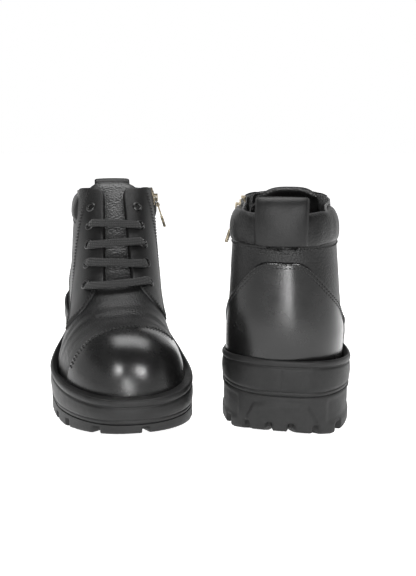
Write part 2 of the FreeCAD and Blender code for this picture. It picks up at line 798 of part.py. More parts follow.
def add_box(name, x, y, z, length, width, height):
    """A box centred on y 0; its low corner in x and z and its three sizes are expressions of the sheet."""
    box = add_primitive("Box", name, Length=length, Width=width, Height=height)
    box.setExpression(".Placement.Base.x", x)
    box.setExpression(".Placement.Base.y", f"({y}) - ({width}) / 2")
    box.setExpression(".Placement.Base.z", z)
    return box


def add_fuse(name, shapes):
    fused = doc.addObject("Part::MultiFuse", name)
    fused.Shapes = shapes
    return fused


def add_cut(name, base, tool):
    cut = doc.addObject("Part::Cut", name)
    cut.Base, cut.Tool = base, tool
    return cut


ACROSS_TURN = Rotation(Vector(1, 0, 0), -90)  # turns a cylinder's z axis to y


def add_slider(boot):
    """A plate above and a plate below the chain, joined by the post between the rows and the edge walls."""
    name = f"{boot}_slider"
    start, half_gap = "dims.slider_start", "dims.slider_gap / 2"
    outer = add_box(f"{name}_outer_plate", start, "0", half_gap, "dims.slider_length", "dims.slider_width",
                    "dims.slider_plate")
    inner = add_box(f"{name}_inner_plate", start, "0", f"-{half_gap} - dims.slider_plate", "dims.slider_length",
                    "dims.slider_width", "dims.slider_plate")
    post = add_box(f"{name}_post", start, "0", f"-{half_gap}", "dims.slider_length / 2", "dims.slider_post",
                   "dims.slider_gap")
    walls = []
    wall = "(dims.slider_width - dims.chain_width) / 2 - 0.3"
    for side in (-1, 1):
        for level, low in (("outer", "dims.slider_tape_gap / 2"), ("inner", f"-{half_gap}")):
            walls.append(add_box(f"{name}_{level}_wall_{'front' if side < 0 else 'rear'}", start,
                                 f"{side} * (dims.slider_width / 2 - ({wall}) / 2)", low, "dims.slider_length",
                                 wall, f"{half_gap} - dims.slider_tape_gap / 2"))
    bridge = add_box(f"{name}_bridge", f"{start} + (dims.slider_length - dims.bridge_length) / 2", "0",
                     f"{half_gap} + dims.slider_plate", "dims.bridge_length", "dims.bridge_width",
                     "dims.bridge_height")
    solid = add_fuse(f"{name}_blank", [outer, inner, post, bridge] + walls)
    hole = add_primitive("Cylinder", f"{name}_bridge_hole", PIVOT + Vector(0, -10, 0), ACROSS_TURN,
                         Radius="dims.bridge_hole_radius")
    hole.Height = 20
    return add_cut(f"{boot}_zip_slider", solid, hole)


PIVOT = Vector(dim("slider_start") + dim("slider_length") / 2, 0,
               dim("slider_gap") / 2 + dim("slider_plate") + dim("pivot_height"))
PULL_TURN = Rotation(Vector(0, 1, 0), -dim("pull_rest_angle"))
PULL_FRAME = ZIP_FRAME.multiply(Placement(PIVOT, PULL_TURN))  # from the bridge's pin, along the hanging pull


def add_link(boot):
    """A wire ring that hangs in the slider's bridge: x runs down the pull from the pin."""
    name, radius = f"{boot}_link", "dims.link_wire_radius"
    half = dim("link_width") / 2 - dim("link_wire_radius")
    parts = []
    for end, x in (("pin", 0.0), ("foot", dim("link_length"))):
        parts.append(add_primitive("Cylinder", f"{name}_{end}", Vector(x, -half, 0), ACROSS_TURN, Radius=radius,
                                   Height="dims.link_width - 2 * dims.link_wire_radius"))
    for side, word in ((-1, "front"), (1, "rear")):
        along = Rotation(Vector(0, 1, 0), 90)
        parts.append(add_primitive("Cylinder", f"{name}_{word}", Vector(0, side * half, 0), along, Radius=radius,
                                   Height="dims.link_length"))
        for end, x in (("pin", 0.0), ("foot", dim("link_length"))):
            parts.append(add_primitive("Sphere", f"{name}_{word}_{end}", Vector(x, side * half, 0), Radius=radius))
    return add_fuse(f"{boot}_zip_link", parts)


def add_pull(boot):
    """The tab: an eye round the link's foot, a narrow neck and a thicker grip."""
    name, foot = f"{boot}_pull", "dims.link_length"
    eye = add_primitive("Cylinder", f"{name}_eye", Vector(dim("link_length"), -dim("pull_neck_width") / 2, 0),
                        ACROSS_TURN, Radius="dims.pull_eye_radius", Height="dims.pull_neck_width")
    neck = add_box(f"{name}_neck", f"{foot} + dims.pull_eye_radius / 2", "0", "-dims.pull_neck_thick / 2",
                   "dims.pull_neck_length", "dims.pull_neck_width", "dims.pull_neck_thick")
    grip = add_box(f"{name}_grip", f"{foot} + dims.pull_neck_length", "0", "-dims.pull_grip_thick / 2",
                   "dims.pull_grip_length", "dims.pull_grip_width", "dims.pull_grip_thick")
    rounded = doc.addObject("Part::Fillet", f"{name}_rounded_grip")
    rounded.Base = grip
    doc.recompute()
    rounded.Edges = [(k, 0.8, 0.8) for k in range(1, 13)]
    blank = add_fuse(f"{name}_blank", [eye, neck, rounded])
    hole = add_primitive("Cylinder", f"{name}_hole", Vector(dim("link_length"), -10, 0), ACROSS_TURN,
                         Radius="dims.pull_hole_radius")
    hole.Height = 20
    return add_cut(f"{boot}_zip_pull", blank, hole)


def add_shank(boot):
    """A flat steel strip with round ends, as a sketched pad."""
    body = doc.addObject("PartDesign::Body", f"{boot}_shank")
    sketch = body.newObject("Sketcher::SketchObject", f"{boot}_shank_outline")
    plane = next(item for item in body.Origin.OriginFeatures if item.Role == "XY_Plane")
    sketch.AttachmentSupport, sketch.MapMode = [(plane, "")], "FlatFace"
    length, half = dim("shank_length"), dim("shank_width") / 2
    up, side = Vector(0, 0, 1), Vector(0, half, 0)
    left, right = Vector(half, 0, 0), Vector(length - half, 0, 0)
    sketch.addGeometry(Part.LineSegment(left - side, right - side))
    sketch.addGeometry(Part.ArcOfCircle(Part.Circle(right, up, half), -math.pi / 2, math.pi / 2))
    sketch.addGeometry(Part.LineSegment(right + side, left + side))
    sketch.addGeometry(Part.ArcOfCircle(Part.Circle(left, up, half), math.pi / 2, 3 * math.pi / 2))
    constrain_slot(sketch)
    pad = body.newObject("PartDesign::Pad", f"{boot}_shank_pad")
    pad.Profile = sketch
    pad.setExpression("Length", "dims.shank_thick")
    return body


def constrain_slot(sketch):
    """Joins a slot's two lines and two arcs end to end and sizes them from the sheet."""
    start, end, centre = 1, 2, 3
    for a, b in ((0, 1), (1, 2), (2, 3), (3, 0)):
        sketch.addConstraint(Sketcher.Constraint("Tangent", a, end, b, start))
    sketch.addConstraint(Sketcher.Constraint("Horizontal", 0))
    sketch.addConstraint(Sketcher.Constraint("Equal", 1, 3))
    radius = sketch.addConstraint(Sketcher.Constraint("Radius", 1, dim("shank_width") / 2))
    apart = sketch.addConstraint(
        Sketcher.Constraint("DistanceX", 3, centre, 1, centre, dim("shank_length") - dim("shank_width"))
    )
    sketch.addConstraint(Sketcher.Constraint("DistanceX", -1, start, 3, centre, dim("shank_width") / 2))
    sketch.addConstraint(Sketcher.Constraint("DistanceY", -1, start, 3, centre, 0))
    sketch.setExpression(f"Constraints[{radius}]", "dims.shank_width / 2")
    sketch.setExpression(f"Constraints[{apart}]", "dims.shank_length - dims.shank_width")


def add_eyelet(name):
    """One eyelet, a flange and a barrel with a hole through them, as the pattern for the rest."""
    flange = add_primitive("Cylinder", f"{name}_flange", Vector(0, 0, PLAY), Radius="dims.eyelet_flange_radius",
                           Height="dims.eyelet_flange_thick")
    barrel = add_primitive("Cylinder", f"{name}_barrel", Vector(0, 0, -2.2), Radius="dims.eyelet_barrel_radius",
                           Height="2.2 + dims.eyelet_flange_thick")
    hole = add_primitive("Cylinder", f"{name}_hole", Vector(0, 0, -5), Radius="dims.eyelet_hole_radius")
    return add_cut(name, add_fuse(f"{name}_blank", [flange, barrel]), hole)


def boot_place(across, back, heading):
    """Stands a boot's middle at (across, back), with its toe turned to a heading in degrees from +X."""
    turn = Rotation(Vector(0, 0, 1), heading)
    return Placement(Vector(across, back, 0) - turn.multVec(Vector(150, 0, 0)), turn)


def centred(places, sole):
    """The boots' placements, moved together so that the pair's footprint is centred on the origin."""
    points = sole.tessellate(0.2)[0]
    spread = [place.multVec(point) for place in places.values() for point in points]
    across = (max(p.x for p in spread) + min(p.x for p in spread)) / 2
    back = (max(p.y for p in spread) + min(p.y for p in spread)) / 2
    for place in places.values():
        place.Base = place.Base - Vector(across, back, 0)
    return places


shapes = make_upper_pieces()
shapes["outsole"] = make_outsole()
shapes["midsole"] = make_midsole()
shapes["lace"] = make_lace()
shapes["aglets"] = make_aglets().cut(shapes["facing_lateral"])
shapes["zip_teeth"] = make_zip_teeth()
shapes["zip_stops"] = make_zip_stops()

eyelet = add_eyelet("eyelet")
doc.recompute()
for side, word in ((-1, "lateral"), (1, "medial")):
    copies = [eyelet.Shape.transformed(eyelet_frame(row, side).Matrix) for row in eyelet_rows()]
    shapes[f"eyelets_{word}"] = Part.makeCompound(copies)
    shapes["lace"] = shapes["lace"].cut(copies).removeSplitter()

places = centred(
    {
        "boot_a": boot_place(dim("boot_a_across"), 0, dim("boot_a_turn") - 90),
        "boot_b": boot_place(dim("boot_b_across"), dim("boot_b_back"), 90 - dim("boot_b_turn")),
    },
    shapes["outsole"],
)

nodes = []
for boot, place in places.items():
    for name, shape in shapes.items():
        nodes.append(add_shape(f"{boot}_{name}", shape, place))
    shank = add_shank(boot)
    shank.Placement = place.multiply(shank_frame()).multiply(Placement(Vector(0, 0, -dim("shank_thick")), Rotation()))
    slider = add_slider(boot)
    slider.Placement = place.multiply(ZIP_FRAME)
    hanging = [add_link(boot), add_pull(boot)]
    for piece in hanging:
        piece.Placement = place.multiply(PULL_FRAME)
    nodes += [shank, slider] + hanging
doc.recompute()

for item in doc.Objects:
    if "Invalid" in item.State or "Error" in item.State:
        raise RuntimeError(f"{item.Label} did not build: {item.State}")
for node in nodes:
    if node.Shape.isNull() or not node.Shape.isValid():
        raise RuntimeError(f"{node.Label} has no valid shape")

os.makedirs("parts", exist_ok=True)
for node in nodes:
    node.Shape.exportStep(f"parts/{node.Label}.step")
print(f"{len(nodes)} sub-parts written")
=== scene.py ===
"""A pair of black leather work boots: the visible pieces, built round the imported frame.

Shapes are worked out in millimetres in a boot's own frame (x from heel to toe, y to the zip, z up) and placed
in metres on each boot.  The upper is one smooth surface; every leather panel is a patch of it.
"""

import math

import bpy
import numpy as np
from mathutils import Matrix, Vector, noise
from mathutils.geometry import delaunay_2d_cdt

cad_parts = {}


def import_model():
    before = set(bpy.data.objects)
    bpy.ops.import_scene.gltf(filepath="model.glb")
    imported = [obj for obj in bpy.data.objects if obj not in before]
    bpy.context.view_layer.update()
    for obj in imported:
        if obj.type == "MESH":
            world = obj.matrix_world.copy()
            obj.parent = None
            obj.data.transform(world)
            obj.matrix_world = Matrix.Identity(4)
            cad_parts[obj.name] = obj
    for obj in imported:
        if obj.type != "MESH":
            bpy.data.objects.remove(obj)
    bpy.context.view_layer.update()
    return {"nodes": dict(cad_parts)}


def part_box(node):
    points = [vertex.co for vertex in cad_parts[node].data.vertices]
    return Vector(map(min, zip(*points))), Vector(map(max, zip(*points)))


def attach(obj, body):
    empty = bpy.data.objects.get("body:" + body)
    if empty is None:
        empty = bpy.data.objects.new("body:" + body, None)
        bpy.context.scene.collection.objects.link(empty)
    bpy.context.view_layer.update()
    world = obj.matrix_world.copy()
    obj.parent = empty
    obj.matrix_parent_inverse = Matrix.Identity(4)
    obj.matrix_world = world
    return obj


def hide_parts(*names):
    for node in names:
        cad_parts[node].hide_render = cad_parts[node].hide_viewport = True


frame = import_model()

BOOTS = {"boot_a": -80.0, "boot_b": 81.5}  # each boot's heading in degrees from +X
SHANK_MIDDLE = 134.6  # the station of the shank's middle
MM = 0.001

# ---------------------------------------------------------------- sizes of the upper, in mm
BALL_STATION, UPPER_LENGTH, SOLE_LENGTH = 212, 292, 302
UPPER_BALL, UPPER_WAIST, UPPER_HEEL, COLLAR_WIDTH = 98, 78, 89, 77
TOE_BOX_HEIGHT, DOME_BASE, DOME_POWER, DOME_START = 72.5, 22, 2.3, 70
FRONT_POWER, BACK_POWER = 2.7, 2.3
TOPLINE = np.array([(-30, 157), (50, 157.5), (86, 163), (106, 166.5), (122, 168), (160, 168.5), (400, 168.5)])
COLLAR_FOOT = 135.5
WING_LINE = {
    -1: [(184, 92), (196, 82), (203, 72), (197, 59), (190, 38), (188, 30)],
    1: [(184, 92), (190, 83), (191, 71), (183, 57), (176, 38), (174, 30)],
}
FACING_LINE = {
    -1: [(113, 166), (116, 158), (121, 140), (130, 104), (140, 82), (160, 69), (186, 61), (197, 57)],
    1: [(109, 165), (112, 157), (117, 140), (126, 106), (136, 84), (154, 70), (174, 61), (183, 57)],
}
COUNTER_EDGE = [  # distance round from the middle of the heel, height
    (0, 125.0), (10, 124.6), (16, 121.5), (21, 116.5), (27, 110.0), (36, 101.0), (47, 92), (61, 80),
    (75, 71), (87, 62), (94, 50), (98, 36),
]  # fmt: skip
BLEND = 10.0  # the radius of the hollow between shaft and foot
TINY = 1e-9


def smooth(t):
    t = np.clip(t, 0, 1)
    return t * t * (3 - 2 * t)


def unit(vectors):
    return vectors / np.maximum(np.linalg.norm(vectors, axis=-1, keepdims=True), TINY)


def superellipse(t, power):
    return (1 - np.clip(t, 0, 1) ** power) ** (1 / power)


def centre_line(x):
    return -2.5 * smooth((x - 90) / 100) + 9 * smooth((x - 200) / 110)


def upper_half_width(x):
    ahead = UPPER_BALL / 2 * superellipse((x - BALL_STATION) / (UPPER_LENGTH - BALL_STATION), 2.3)
    behind = UPPER_BALL / 2 - (UPPER_BALL - UPPER_WAIST) / 2 * smooth((BALL_STATION - x) / 110)
    return np.maximum(np.where(x > BALL_STATION, ahead, behind), 0.5)


def ridge_height(x):
    ahead = DOME_BASE + (TOE_BOX_HEIGHT - DOME_BASE) * superellipse((x - 250) / (UPPER_LENGTH - 250), 2.2)
    return np.where(x > 250, ahead, TOE_BOX_HEIGHT + 22 * smooth((250 - x) / 110))


def shaft_back(z):
    return 7 * smooth((z - 75) / 60) + 3 * np.maximum(0, (75 - z) / 45) ** 2


def shaft_front(z):
    return 108.7 + 0.864 * (180 - z)


def shaft_half_width(z):
    return (UPPER_HEEL - (UPPER_HEEL - COLLAR_WIDTH) * np.clip((z - 70) / 90, 0, 1)) / 2


def shaft_widest(z):
    return 55 + 7 * smooth((z - 60) / 100)


def shaft_lean(z):
    return 2.4 * np.clip((z - 70) / 90, 0, 1)


def level(p):
    """How far outside the upper a point lies, roughly in mm; negative inside."""
    x, y, z = p[..., 0], p[..., 1], p[..., 2]
    middle, half = shaft_widest(z), shaft_half_width(z)
    along = x - middle
    reach = np.where(along > 0, shaft_front(z) - middle, middle - shaft_back(z))
    power = np.where(along > 0, FRONT_POWER, BACK_POWER)
    shaft = (np.abs(along) / reach) ** power + (np.abs(y - shaft_lean(z)) / half) ** power
    shaft = (shaft ** (1 / power) - 1) * half
    width, rise = upper_half_width(x), np.maximum(ridge_height(x) - DOME_BASE, 0.5)
    dome = (np.abs(y - centre_line(x)) / width) ** DOME_POWER
    dome = dome + (np.maximum(z - DOME_BASE, 0) / rise) ** DOME_POWER
    dome = (dome ** (1 / DOME_POWER) - 1) * np.minimum(width, rise)
    dome = np.maximum(dome, np.maximum(x - UPPER_LENGTH, DOME_START - x))
    near = np.maximum(BLEND - np.abs(shaft - dome), 0) / BLEND
    return np.minimum(shaft, dome) - near * near * BLEND / 4


def outward(p):
    """The outward unit normal of the upper at points on it."""
    step = 0.4
    slopes = []
    for axis in range(3):
        shift = np.zeros(3)
        shift[axis] = step
        slopes.append(level(p + shift) - level(p - shift))
    return unit(np.stack(slopes, axis=-1))


HALVINGS = 30


def solve(inside, low, high):
    """The values between low and high where inside turns false, by halving."""
    low, high = np.array(low, float), np.array(high, float)
    for _ in range(HALVINGS):
        middle = (low + high) / 2
        within = inside(middle)
        low, high = np.where(within, middle, low), np.where(within, high, middle)
    return (low + high) / 2


# ---------------------------------------------------------------- ways to lay a grid on the upper
DEGREE = 45 * math.pi / 180  # mm on a 45 mm radius for one degree
# the planes from the ball to the top of the tongue: distance, pivot x, pivot z, tilt in degrees
FAN = np.array([
    (80, 205, 38, 85.7), (115, 165, 44, 67), (148, 125, 52, 51.7), (178, 95, 62, 50), (206, 75, 85, 45),
    (234, 66, 112, 38.7), (262, 63, 140, 25.3), (292, 63, 172, 1.1),
], float)  # fmt: skip


class Fan:
    """Planes that swing from upright at the ball of the foot to nearly level at the top of the tongue."""

    @staticmethod
    def plane(a):
        x, z, tilt = (np.interp(a, FAN[:, 0], FAN[:, k]) for k in (1, 2, 3))
        tilt = np.radians(tilt)
        pivot = np.stack([x, centre_line(x), z], axis=-1)
        ahead = np.stack([np.cos(tilt), np.zeros_like(x), np.sin(tilt)], axis=-1)
        return pivot, ahead

    @staticmethod
    def find(p):
        def before(a):
            pivot, ahead = Fan.plane(a)
            d = p - pivot
            return ahead[..., 0] * d[..., 2] - ahead[..., 2] * d[..., 0] > 0

        shape = p.shape[:-1]
        return solve(before, np.full(shape, FAN[0, 0]), np.full(shape, FAN[-1, 0]))

    @staticmethod
    def rays(a, b):
        pivot, ahead = Fan.plane(a)
        turn = np.radians(b / DEGREE)[..., None]
        return pivot, ahead * np.cos(turn) + np.array([0, 1.0, 0]) * np.sin(turn)

    @staticmethod
    def place(p):
        a = Fan.find(p)
        pivot, ahead = Fan.plane(a)
        d = p - pivot
        return np.stack([a, np.degrees(np.arctan2(d[..., 1], (d * ahead).sum(-1))) * DEGREE], axis=-1)


class Rings:
    """Level planes up the ankle: a is the height and b the turn from straight ahead."""

    @staticmethod
    def rays(a, b):
        turn = np.radians(b / DEGREE)
        pivot = np.stack([shaft_widest(a), shaft_lean(a), a], axis=-1)
        return pivot, np.stack([np.cos(turn), np.sin(turn), np.zeros_like(turn)], axis=-1)

    @staticmethod
    def place(p):
        turn = np.arctan2(p[..., 1] - shaft_lean(p[..., 2]), p[..., 0] - shaft_widest(p[..., 2]))
        return np.stack([p[..., 2], np.degrees(turn) * DEGREE], axis=-1)


class Dome:
    """Rays from one centre, opened out flat round a pole direction."""

    def __init__(self, centre, pole):
        self.centre = np.array(centre, float)
        self.pole = unit(np.array(pole, float))
        self.ahead = unit(np.cross([0, 1.0, 0], self.pole))

    def rays(self, a, b):
        turn = np.radians(np.hypot(a, b) / DEGREE)
        spin = np.arctan2(b, a)[..., None]
        side = self.ahead * np.cos(spin) + np.array([0, 1.0, 0]) * np.sin(spin)
        centre = np.broadcast_to(self.centre, turn.shape + (3,))
        return centre, self.pole * np.cos(turn)[..., None] + side * np.sin(turn)[..., None]

    def place(self, p):
        d = unit(p - self.centre)
        turn = np.degrees(np.arccos(np.clip(d @ self.pole, -1, 1))) * DEGREE
        spin = np.arctan2(d[..., 1], d @ self.ahead)
        return np.stack([turn * np.cos(spin), turn * np.sin(spin)], axis=-1)


def surface(family, a, b):
    """Points and outward normals of the upper at a family's grid places."""
    a, b = np.broadcast_arrays(np.asarray(a, float), np.asarray(b, float))
    pivot, ray = family.rays(a, b)
    reach = solve(lambda r: level(pivot + ray * r[..., None]) < 0, np.zeros(a.shape), np.full(a.shape, 290.0))
    points = pivot + ray * reach[..., None]
    return points, outward(points)


def side_points(line, side):
    """Points of the upper over a side-view line."""
    line = np.array(line, float)
    x, z = line[:, 0], line[:, 1]
    start = shaft_lean(z)

    def inside(y):
        return level(np.stack([x, side * y, z], -1)) < 0

    y = solve(inside, start * side, np.full(len(x), 80.0))
    return np.stack([x, side * y, z], -1)


def plan_points(line):
    """Points of the upper under a plan line of (x, y) points."""
    line = np.array(line, float)
    x, y = line[:, 0], line[:, 1]
    z = solve(lambda z: level(np.stack([x, y, z], -1)) < 0, np.full(len(x), 23.0), np.full(len(x), 110.0))
    return np.stack([x, y, z], -1)


def front_points(line):
    """Points of the front of the ankle at (z, y) places."""
    line = np.array(line, float)
    z, y = line[:, 0], line[:, 1]
    x = solve(lambda x: level(np.stack([x, y, z], -1)) < 0, np.full(len(z), 70.0), np.full(len(z), 292.0))
    return np.stack([x, y, z], -1)


def curve(points, spacing):
    """A smooth line through the points, read at even steps."""
    points = np.array(points, float)
    if len(points) > 2:
        ends = np.vstack([2 * points[0] - points[1], points, 2 * points[-1] - points[-2]])
        t = np.linspace(0, 1, 24, endpoint=False)[:, None]
        runs = []
        for p0, p1, p2, p3 in zip(ends, ends[1:], ends[2:], ends[3:]):
            runs.append(0.5 * (2 * p1 + (p2 - p0) * t + (2 * p0 - 5 * p1 + 4 * p2 - p3) * t**2
                               + (3 * p1 - p0 - 3 * p2 + p3) * t**3))
        points = np.vstack(runs + [points[-1:]])
    return even(points, spacing)


def run_length(points):
    """How far along a line each of its points lies."""
    steps = np.linalg.norm(np.diff(points, axis=0), axis=1)
    return np.concatenate([[0], np.cumsum(steps)])


def read_line(line, along, reads):
    return np.stack([np.interp(reads, along, line[:, k]) for k in range(line.shape[1])], -1)


def even(points, spacing):
    """The line read again at even steps."""
    along = run_length(points)
    count = max(2, int(round(along[-1] / spacing)) + 1)
    return read_line(points, along, np.linspace(0, along[-1], count))


def direction(line):
    """The unit vector along a line at each of its points."""
    return unit(np.gradient(line, axis=0))


# ---------------------------------------------------------------- Blender objects
def boot_transform(boot):
    """The turn and the shift, in metres, that take a boot's own frame to the row's."""
    low, high = (np.array(corner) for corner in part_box(f"{boot}_shank"))
    angle = math.radians(BOOTS[boot])
    c, s = math.cos(angle), math.sin(angle)
    turn = np.array([[c, -s, 0], [s, c, 0], [0, 0, 1]])
    middle = (low + high) / 2
    middle[2] = 0
    return turn, middle - turn @ np.array([SHANK_MIDDLE * MM, 0, 0])


TRANSFORMS = {boot: boot_transform(boot) for boot in BOOTS}


def on_boot(boot, points):
    turn, shift = TRANSFORMS[boot]
    return np.asarray(points, float) * MM @ turn.T + shift


def add_mesh(boot, name, verts, faces, material, slot, replaces=()):
    """One piece on one boot, from vertices in the boot's frame."""
    mesh = bpy.data.meshes.new(f"{boot}_{name}")
    mesh.from_pydata(on_boot(boot, verts).tolist(), [], [tuple(int(i) for i in face) for face in faces])
    mesh.validate()
    mesh.shade_smooth()
    piece = bpy.data.objects.new(f"{boot}_{name}_look", mesh)
    bpy.context.scene.collection.objects.link(piece)
    piece.data.materials.append(material)
    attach(piece, boot)
    if replaces:
        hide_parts(*[f"{boot}_{node}" for node in replaces])
    return piece


def on_both(name, verts, faces, material, **facts):
    return [add_mesh(boot, name, verts, faces, material, **facts) for boot in BOOTS]


def grid_faces(rows, columns, closed_rows=False, closed_columns=False):
    """The faces between the points of a grid, numbered row by row."""
    faces = []
    for i in range(rows if closed_rows else rows - 1):
        for j in range(columns if closed_columns else columns - 1):
            k, m = (i + 1) % rows, (j + 1) % columns
            faces.append((i * columns + j, i * columns + m, k * columns + m, k * columns + j))
    return faces


def grid_rim(rows, columns):
    """The points round a grid's edge, in order."""
    rim = list(range(columns)) + [i * columns + columns - 1 for i in range(1, rows)]
    rim += [(rows - 1) * columns + i for i in range(columns - 2, -1, -1)]
    return rim + [i * columns for i in range(rows - 2, 0, -1)]


def strip_ends(rows, columns):
    """The two faces that close a tube whose closed direction runs down the grid's rows."""
    first = tuple(i * columns for i in range(rows))
    return first, tuple(i + columns - 1 for i in first)


def join(parts):
    """Several (verts, faces) as one."""
    verts, faces, count = [], [], 0
    for part_verts, part_faces in parts:
        verts.append(np.asarray(part_verts, float))
        faces += [tuple(i + count for i in face) for face in part_faces]
        count += len(part_verts)
    return np.vstack(verts), faces


def ripple(points, size, depth, seed=0.0):
    """Smooth random displacement, the same each run."""
    return np.array([noise.noise(Vector((*(p / size),)) + Vector((seed, 0, 0))) * depth for p in points])


# ---------------------------------------------------------------- leather panels
def inside_polygon(points, polygon):
    """Which points lie inside a closed polygon."""
    x, y = points[:, 0][:, None], points[:, 1][:, None]
    x0, y0 = polygon[:, 0], polygon[:, 1]
    x1, y1 = np.roll(x0, -1), np.roll(y0, -1)
    crosses = ((y0 > y) != (y1 > y)) & (x < (x1 - x0) * (y - y0) / (y1 - y0 + 1e-12) + x0)
    return crosses.sum(1) % 2 == 1


def boundary_distance(points, polygon):
    """Each point's distance to a closed polygon's edges."""
    a, b = polygon, np.roll(polygon, -1, axis=0)
    best = np.full(len(points), 1e9)
    for start, end in zip(a, b):
        edge = end - start
        t = np.clip(((points - start) @ edge) / max(edge @ edge, 1e-9), 0, 1)
        best = np.minimum(best, np.linalg.norm(points - start - t[:, None] * edge, axis=1))
    return best


EDGE_ROUND = 1.4  # how far in from a panel's edge its rounding runs
EDGE_RINGS = (0.35, 0.9, 1.6)
EDGE_CLEAR = 2.4


def panel_places(outline, cell):
    """The outline, rings of places close inside it, and an even field within those."""
    lows, highs = outline.min(0), outline.max(0)
    rows = []
    for n, a in enumerate(np.arange(lows[0], highs[0], cell * 0.87)):
        row = np.arange(lows[1] + (n % 2) * cell / 2, highs[1], cell)
        rows.append(np.stack([np.full(len(row), a), row], -1))
    inner = np.vstack(rows)
    inner = inner[inside_polygon(inner, outline)]
    inner = inner[boundary_distance(inner, outline) > EDGE_CLEAR]
    rings = []
    ahead, behind = np.roll(outline, -1, axis=0), np.roll(outline, 1, axis=0)
    tangent = unit(ahead - behind)
    inward = np.stack([-tangent[:, 1], tangent[:, 0]], -1)
    area = (outline[:, 0] * ahead[:, 1] - ahead[:, 0] * outline[:, 1]).sum()
    inward *= 1 if area > 0 else -1
    for depth in EDGE_RINGS:
        ring = outline + inward * depth
        ring = ring[inside_polygon(ring, outline)]
        rings.append(ring[boundary_distance(ring, outline) > depth * 0.93])
    return np.vstack([outline] + rings + [inner])


def rim_distance(points, count):
    """Each point's distance to the first count points, which are the rim."""
    distance = np.full(len(points), 1e9)
    for start in range(0, count, 64):
        gaps = np.linalg.norm(points[:, None] - points[None, start:min(start + 64, count)], axis=2)
        distance = np.minimum(distance, gaps.min(1))
    distance[:count] = 0
    return distance


def panel_mesh(family, outline, lift, thick, cell, relief):
    """A leather piece with a rounded edge: outline is a closed ring of grid places."""
    count = len(outline)
    laid = [Vector(place) for place in panel_places(outline, cell)]
    verts, _, faces, *_ = delaunay_2d_cdt(laid, [], [list(range(count))], 1, 1e-5)
    flat = np.array([tuple(v) for v in verts])
    points, normals = surface(family, flat[:, 0], flat[:, 1])
    distance = rim_distance(points, count)
    round_edge = np.sqrt(1 - (1 - np.clip(distance / EDGE_ROUND, 0, 1)) ** 2)
    height = lift + thick * round_edge
    height = height + relief(points) * round_edge
    top = points + normals * height[:, None]
    back = points + normals * (lift - 0.15 * np.clip(distance, 0, 1))[:, None]
    back[:count] = top[:count]
    a, b, c = (points[[face[k] for face in faces]] for k in range(3))
    turned = (np.cross(b - a, c - a) * normals[[face[0] for face in faces]]).sum(-1) < 0
    faces = [tuple(face[::-1] if back_to_front else face) for face, back_to_front in zip(faces, turned)]
    index = np.arange(len(points)) + len(points)
    index[:count] = np.arange(count)
    back_faces = [tuple(int(index[i]) for i in face[::-1]) for face in faces]
    return np.vstack([top, back]), faces + back_faces


def ring_of(*runs):
    """A closed outline from curves laid end to end."""
    points = [run if n == 0 else run[1:] for n, run in enumerate(runs)]
    ring = np.vstack(points)
    if np.linalg.norm(ring[0] - ring[-1]) < 0.5:
        ring = ring[:-1]
    keep = [0]
    for k in range(1, len(ring)):
        if np.linalg.norm(ring[k] - ring[keep[-1]]) > 0.4:
            keep.append(k)
    return ring[keep]


STITCH_LENGTH, STITCH_PITCH, STITCH_RADIUS = 2.1, 2.9, 0.42


def stitches(family, places, lift):
    """A row of thread stitches along grid places."""
    points, normals = surface(family, places[:, 0], places[:, 1])
    both = even(np.hstack([points, normals]), 0.5)
    along = run_length(both[:, :3])
    starts = np.arange(0.4, along[-1] - STITCH_LENGTH, STITCH_PITCH)
    return [one_stitch(both, along, start, lift) for start in starts]


def one_stitch(line, along, start, lift):
    """One bead of thread that dips into the leather at both ends."""
    at = read_line(line, along, start + STITCH_LENGTH * np.linspace(0, 1, 5))
    centre, normal = at[:, :3], at[:, 3:]
    across = np.cross(normal, direction(centre))
    arch = np.array([-0.5, 0.1, 0.22, 0.1, -0.5])
    size = STITCH_RADIUS * np.array([0.55, 0.95, 1.0, 0.95, 0.55])
    verts = []
    for k in range(5):
        for turn in np.arange(6) * math.pi / 3:
            side = across[k] * math.cos(turn) + normal[k] * math.sin(turn)
            verts.append(centre[k] + normal[k] * (lift + arch[k]) + side * size[k])
    faces = grid_faces(5, 6, closed_columns=True) + [(5, 4, 3, 2, 1, 0), tuple(range(24, 30))]
    return np.array(verts), faces


# ---------------------------------------------------------------- materials
def new_material(name):
    material = bpy.data.materials.new(name)
    material.use_nodes = True
    return material, material.node_tree, material.node_tree.nodes["Principled BSDF"]


def texture_node(tree, kind, scale):
    """A texture in the boot's own metres, so it neither slides nor stretches."""
    where = tree.nodes.new("ShaderNodeTexCoord")
    texture = tree.nodes.new(f"ShaderNodeTex{kind}")
    tree.links.new(where.outputs["Object"], texture.inputs["Vector"])
    texture.inputs["Scale"].default_value = scale
    return texture


def noise_node(tree, scale, detail, rough):
    texture = texture_node(tree, "Noise", scale)
    texture.inputs["Detail"].default_value = detail
    texture.inputs["Roughness"].default_value = rough
    return texture


def drive(tree, source, places, values, socket):
    """Set a socket by a ramp over a texture; a value is a grey or a colour."""
    ramp = tree.nodes.new("ShaderNodeValToRGB")
    for element, place, value in zip(ramp.color_ramp.elements, places, values):
        element.position = place
        element.color = value if isinstance(value, tuple) else (value, value, value, 1)
    tree.links.new(source, ramp.inputs["Fac"])
    tree.links.new(ramp.outputs["Color"], socket)


def add_bumps(tree, shader, layers):
    """Lay bumps of (texture output, depth in metres, strength) over each other, the deepest first."""
    below = None
    for height, depth, strength in layers:
        bump = tree.nodes.new("ShaderNodeBump")
        bump.inputs["Distance"].default_value = depth
        bump.inputs["Strength"].default_value = strength
        tree.links.new(height, bump.inputs["Height"])
        if below is not None:
            tree.links.new(below, bump.inputs["Normal"])
        below = bump.outputs["Normal"]
    tree.links.new(below, shader.inputs["Normal"])


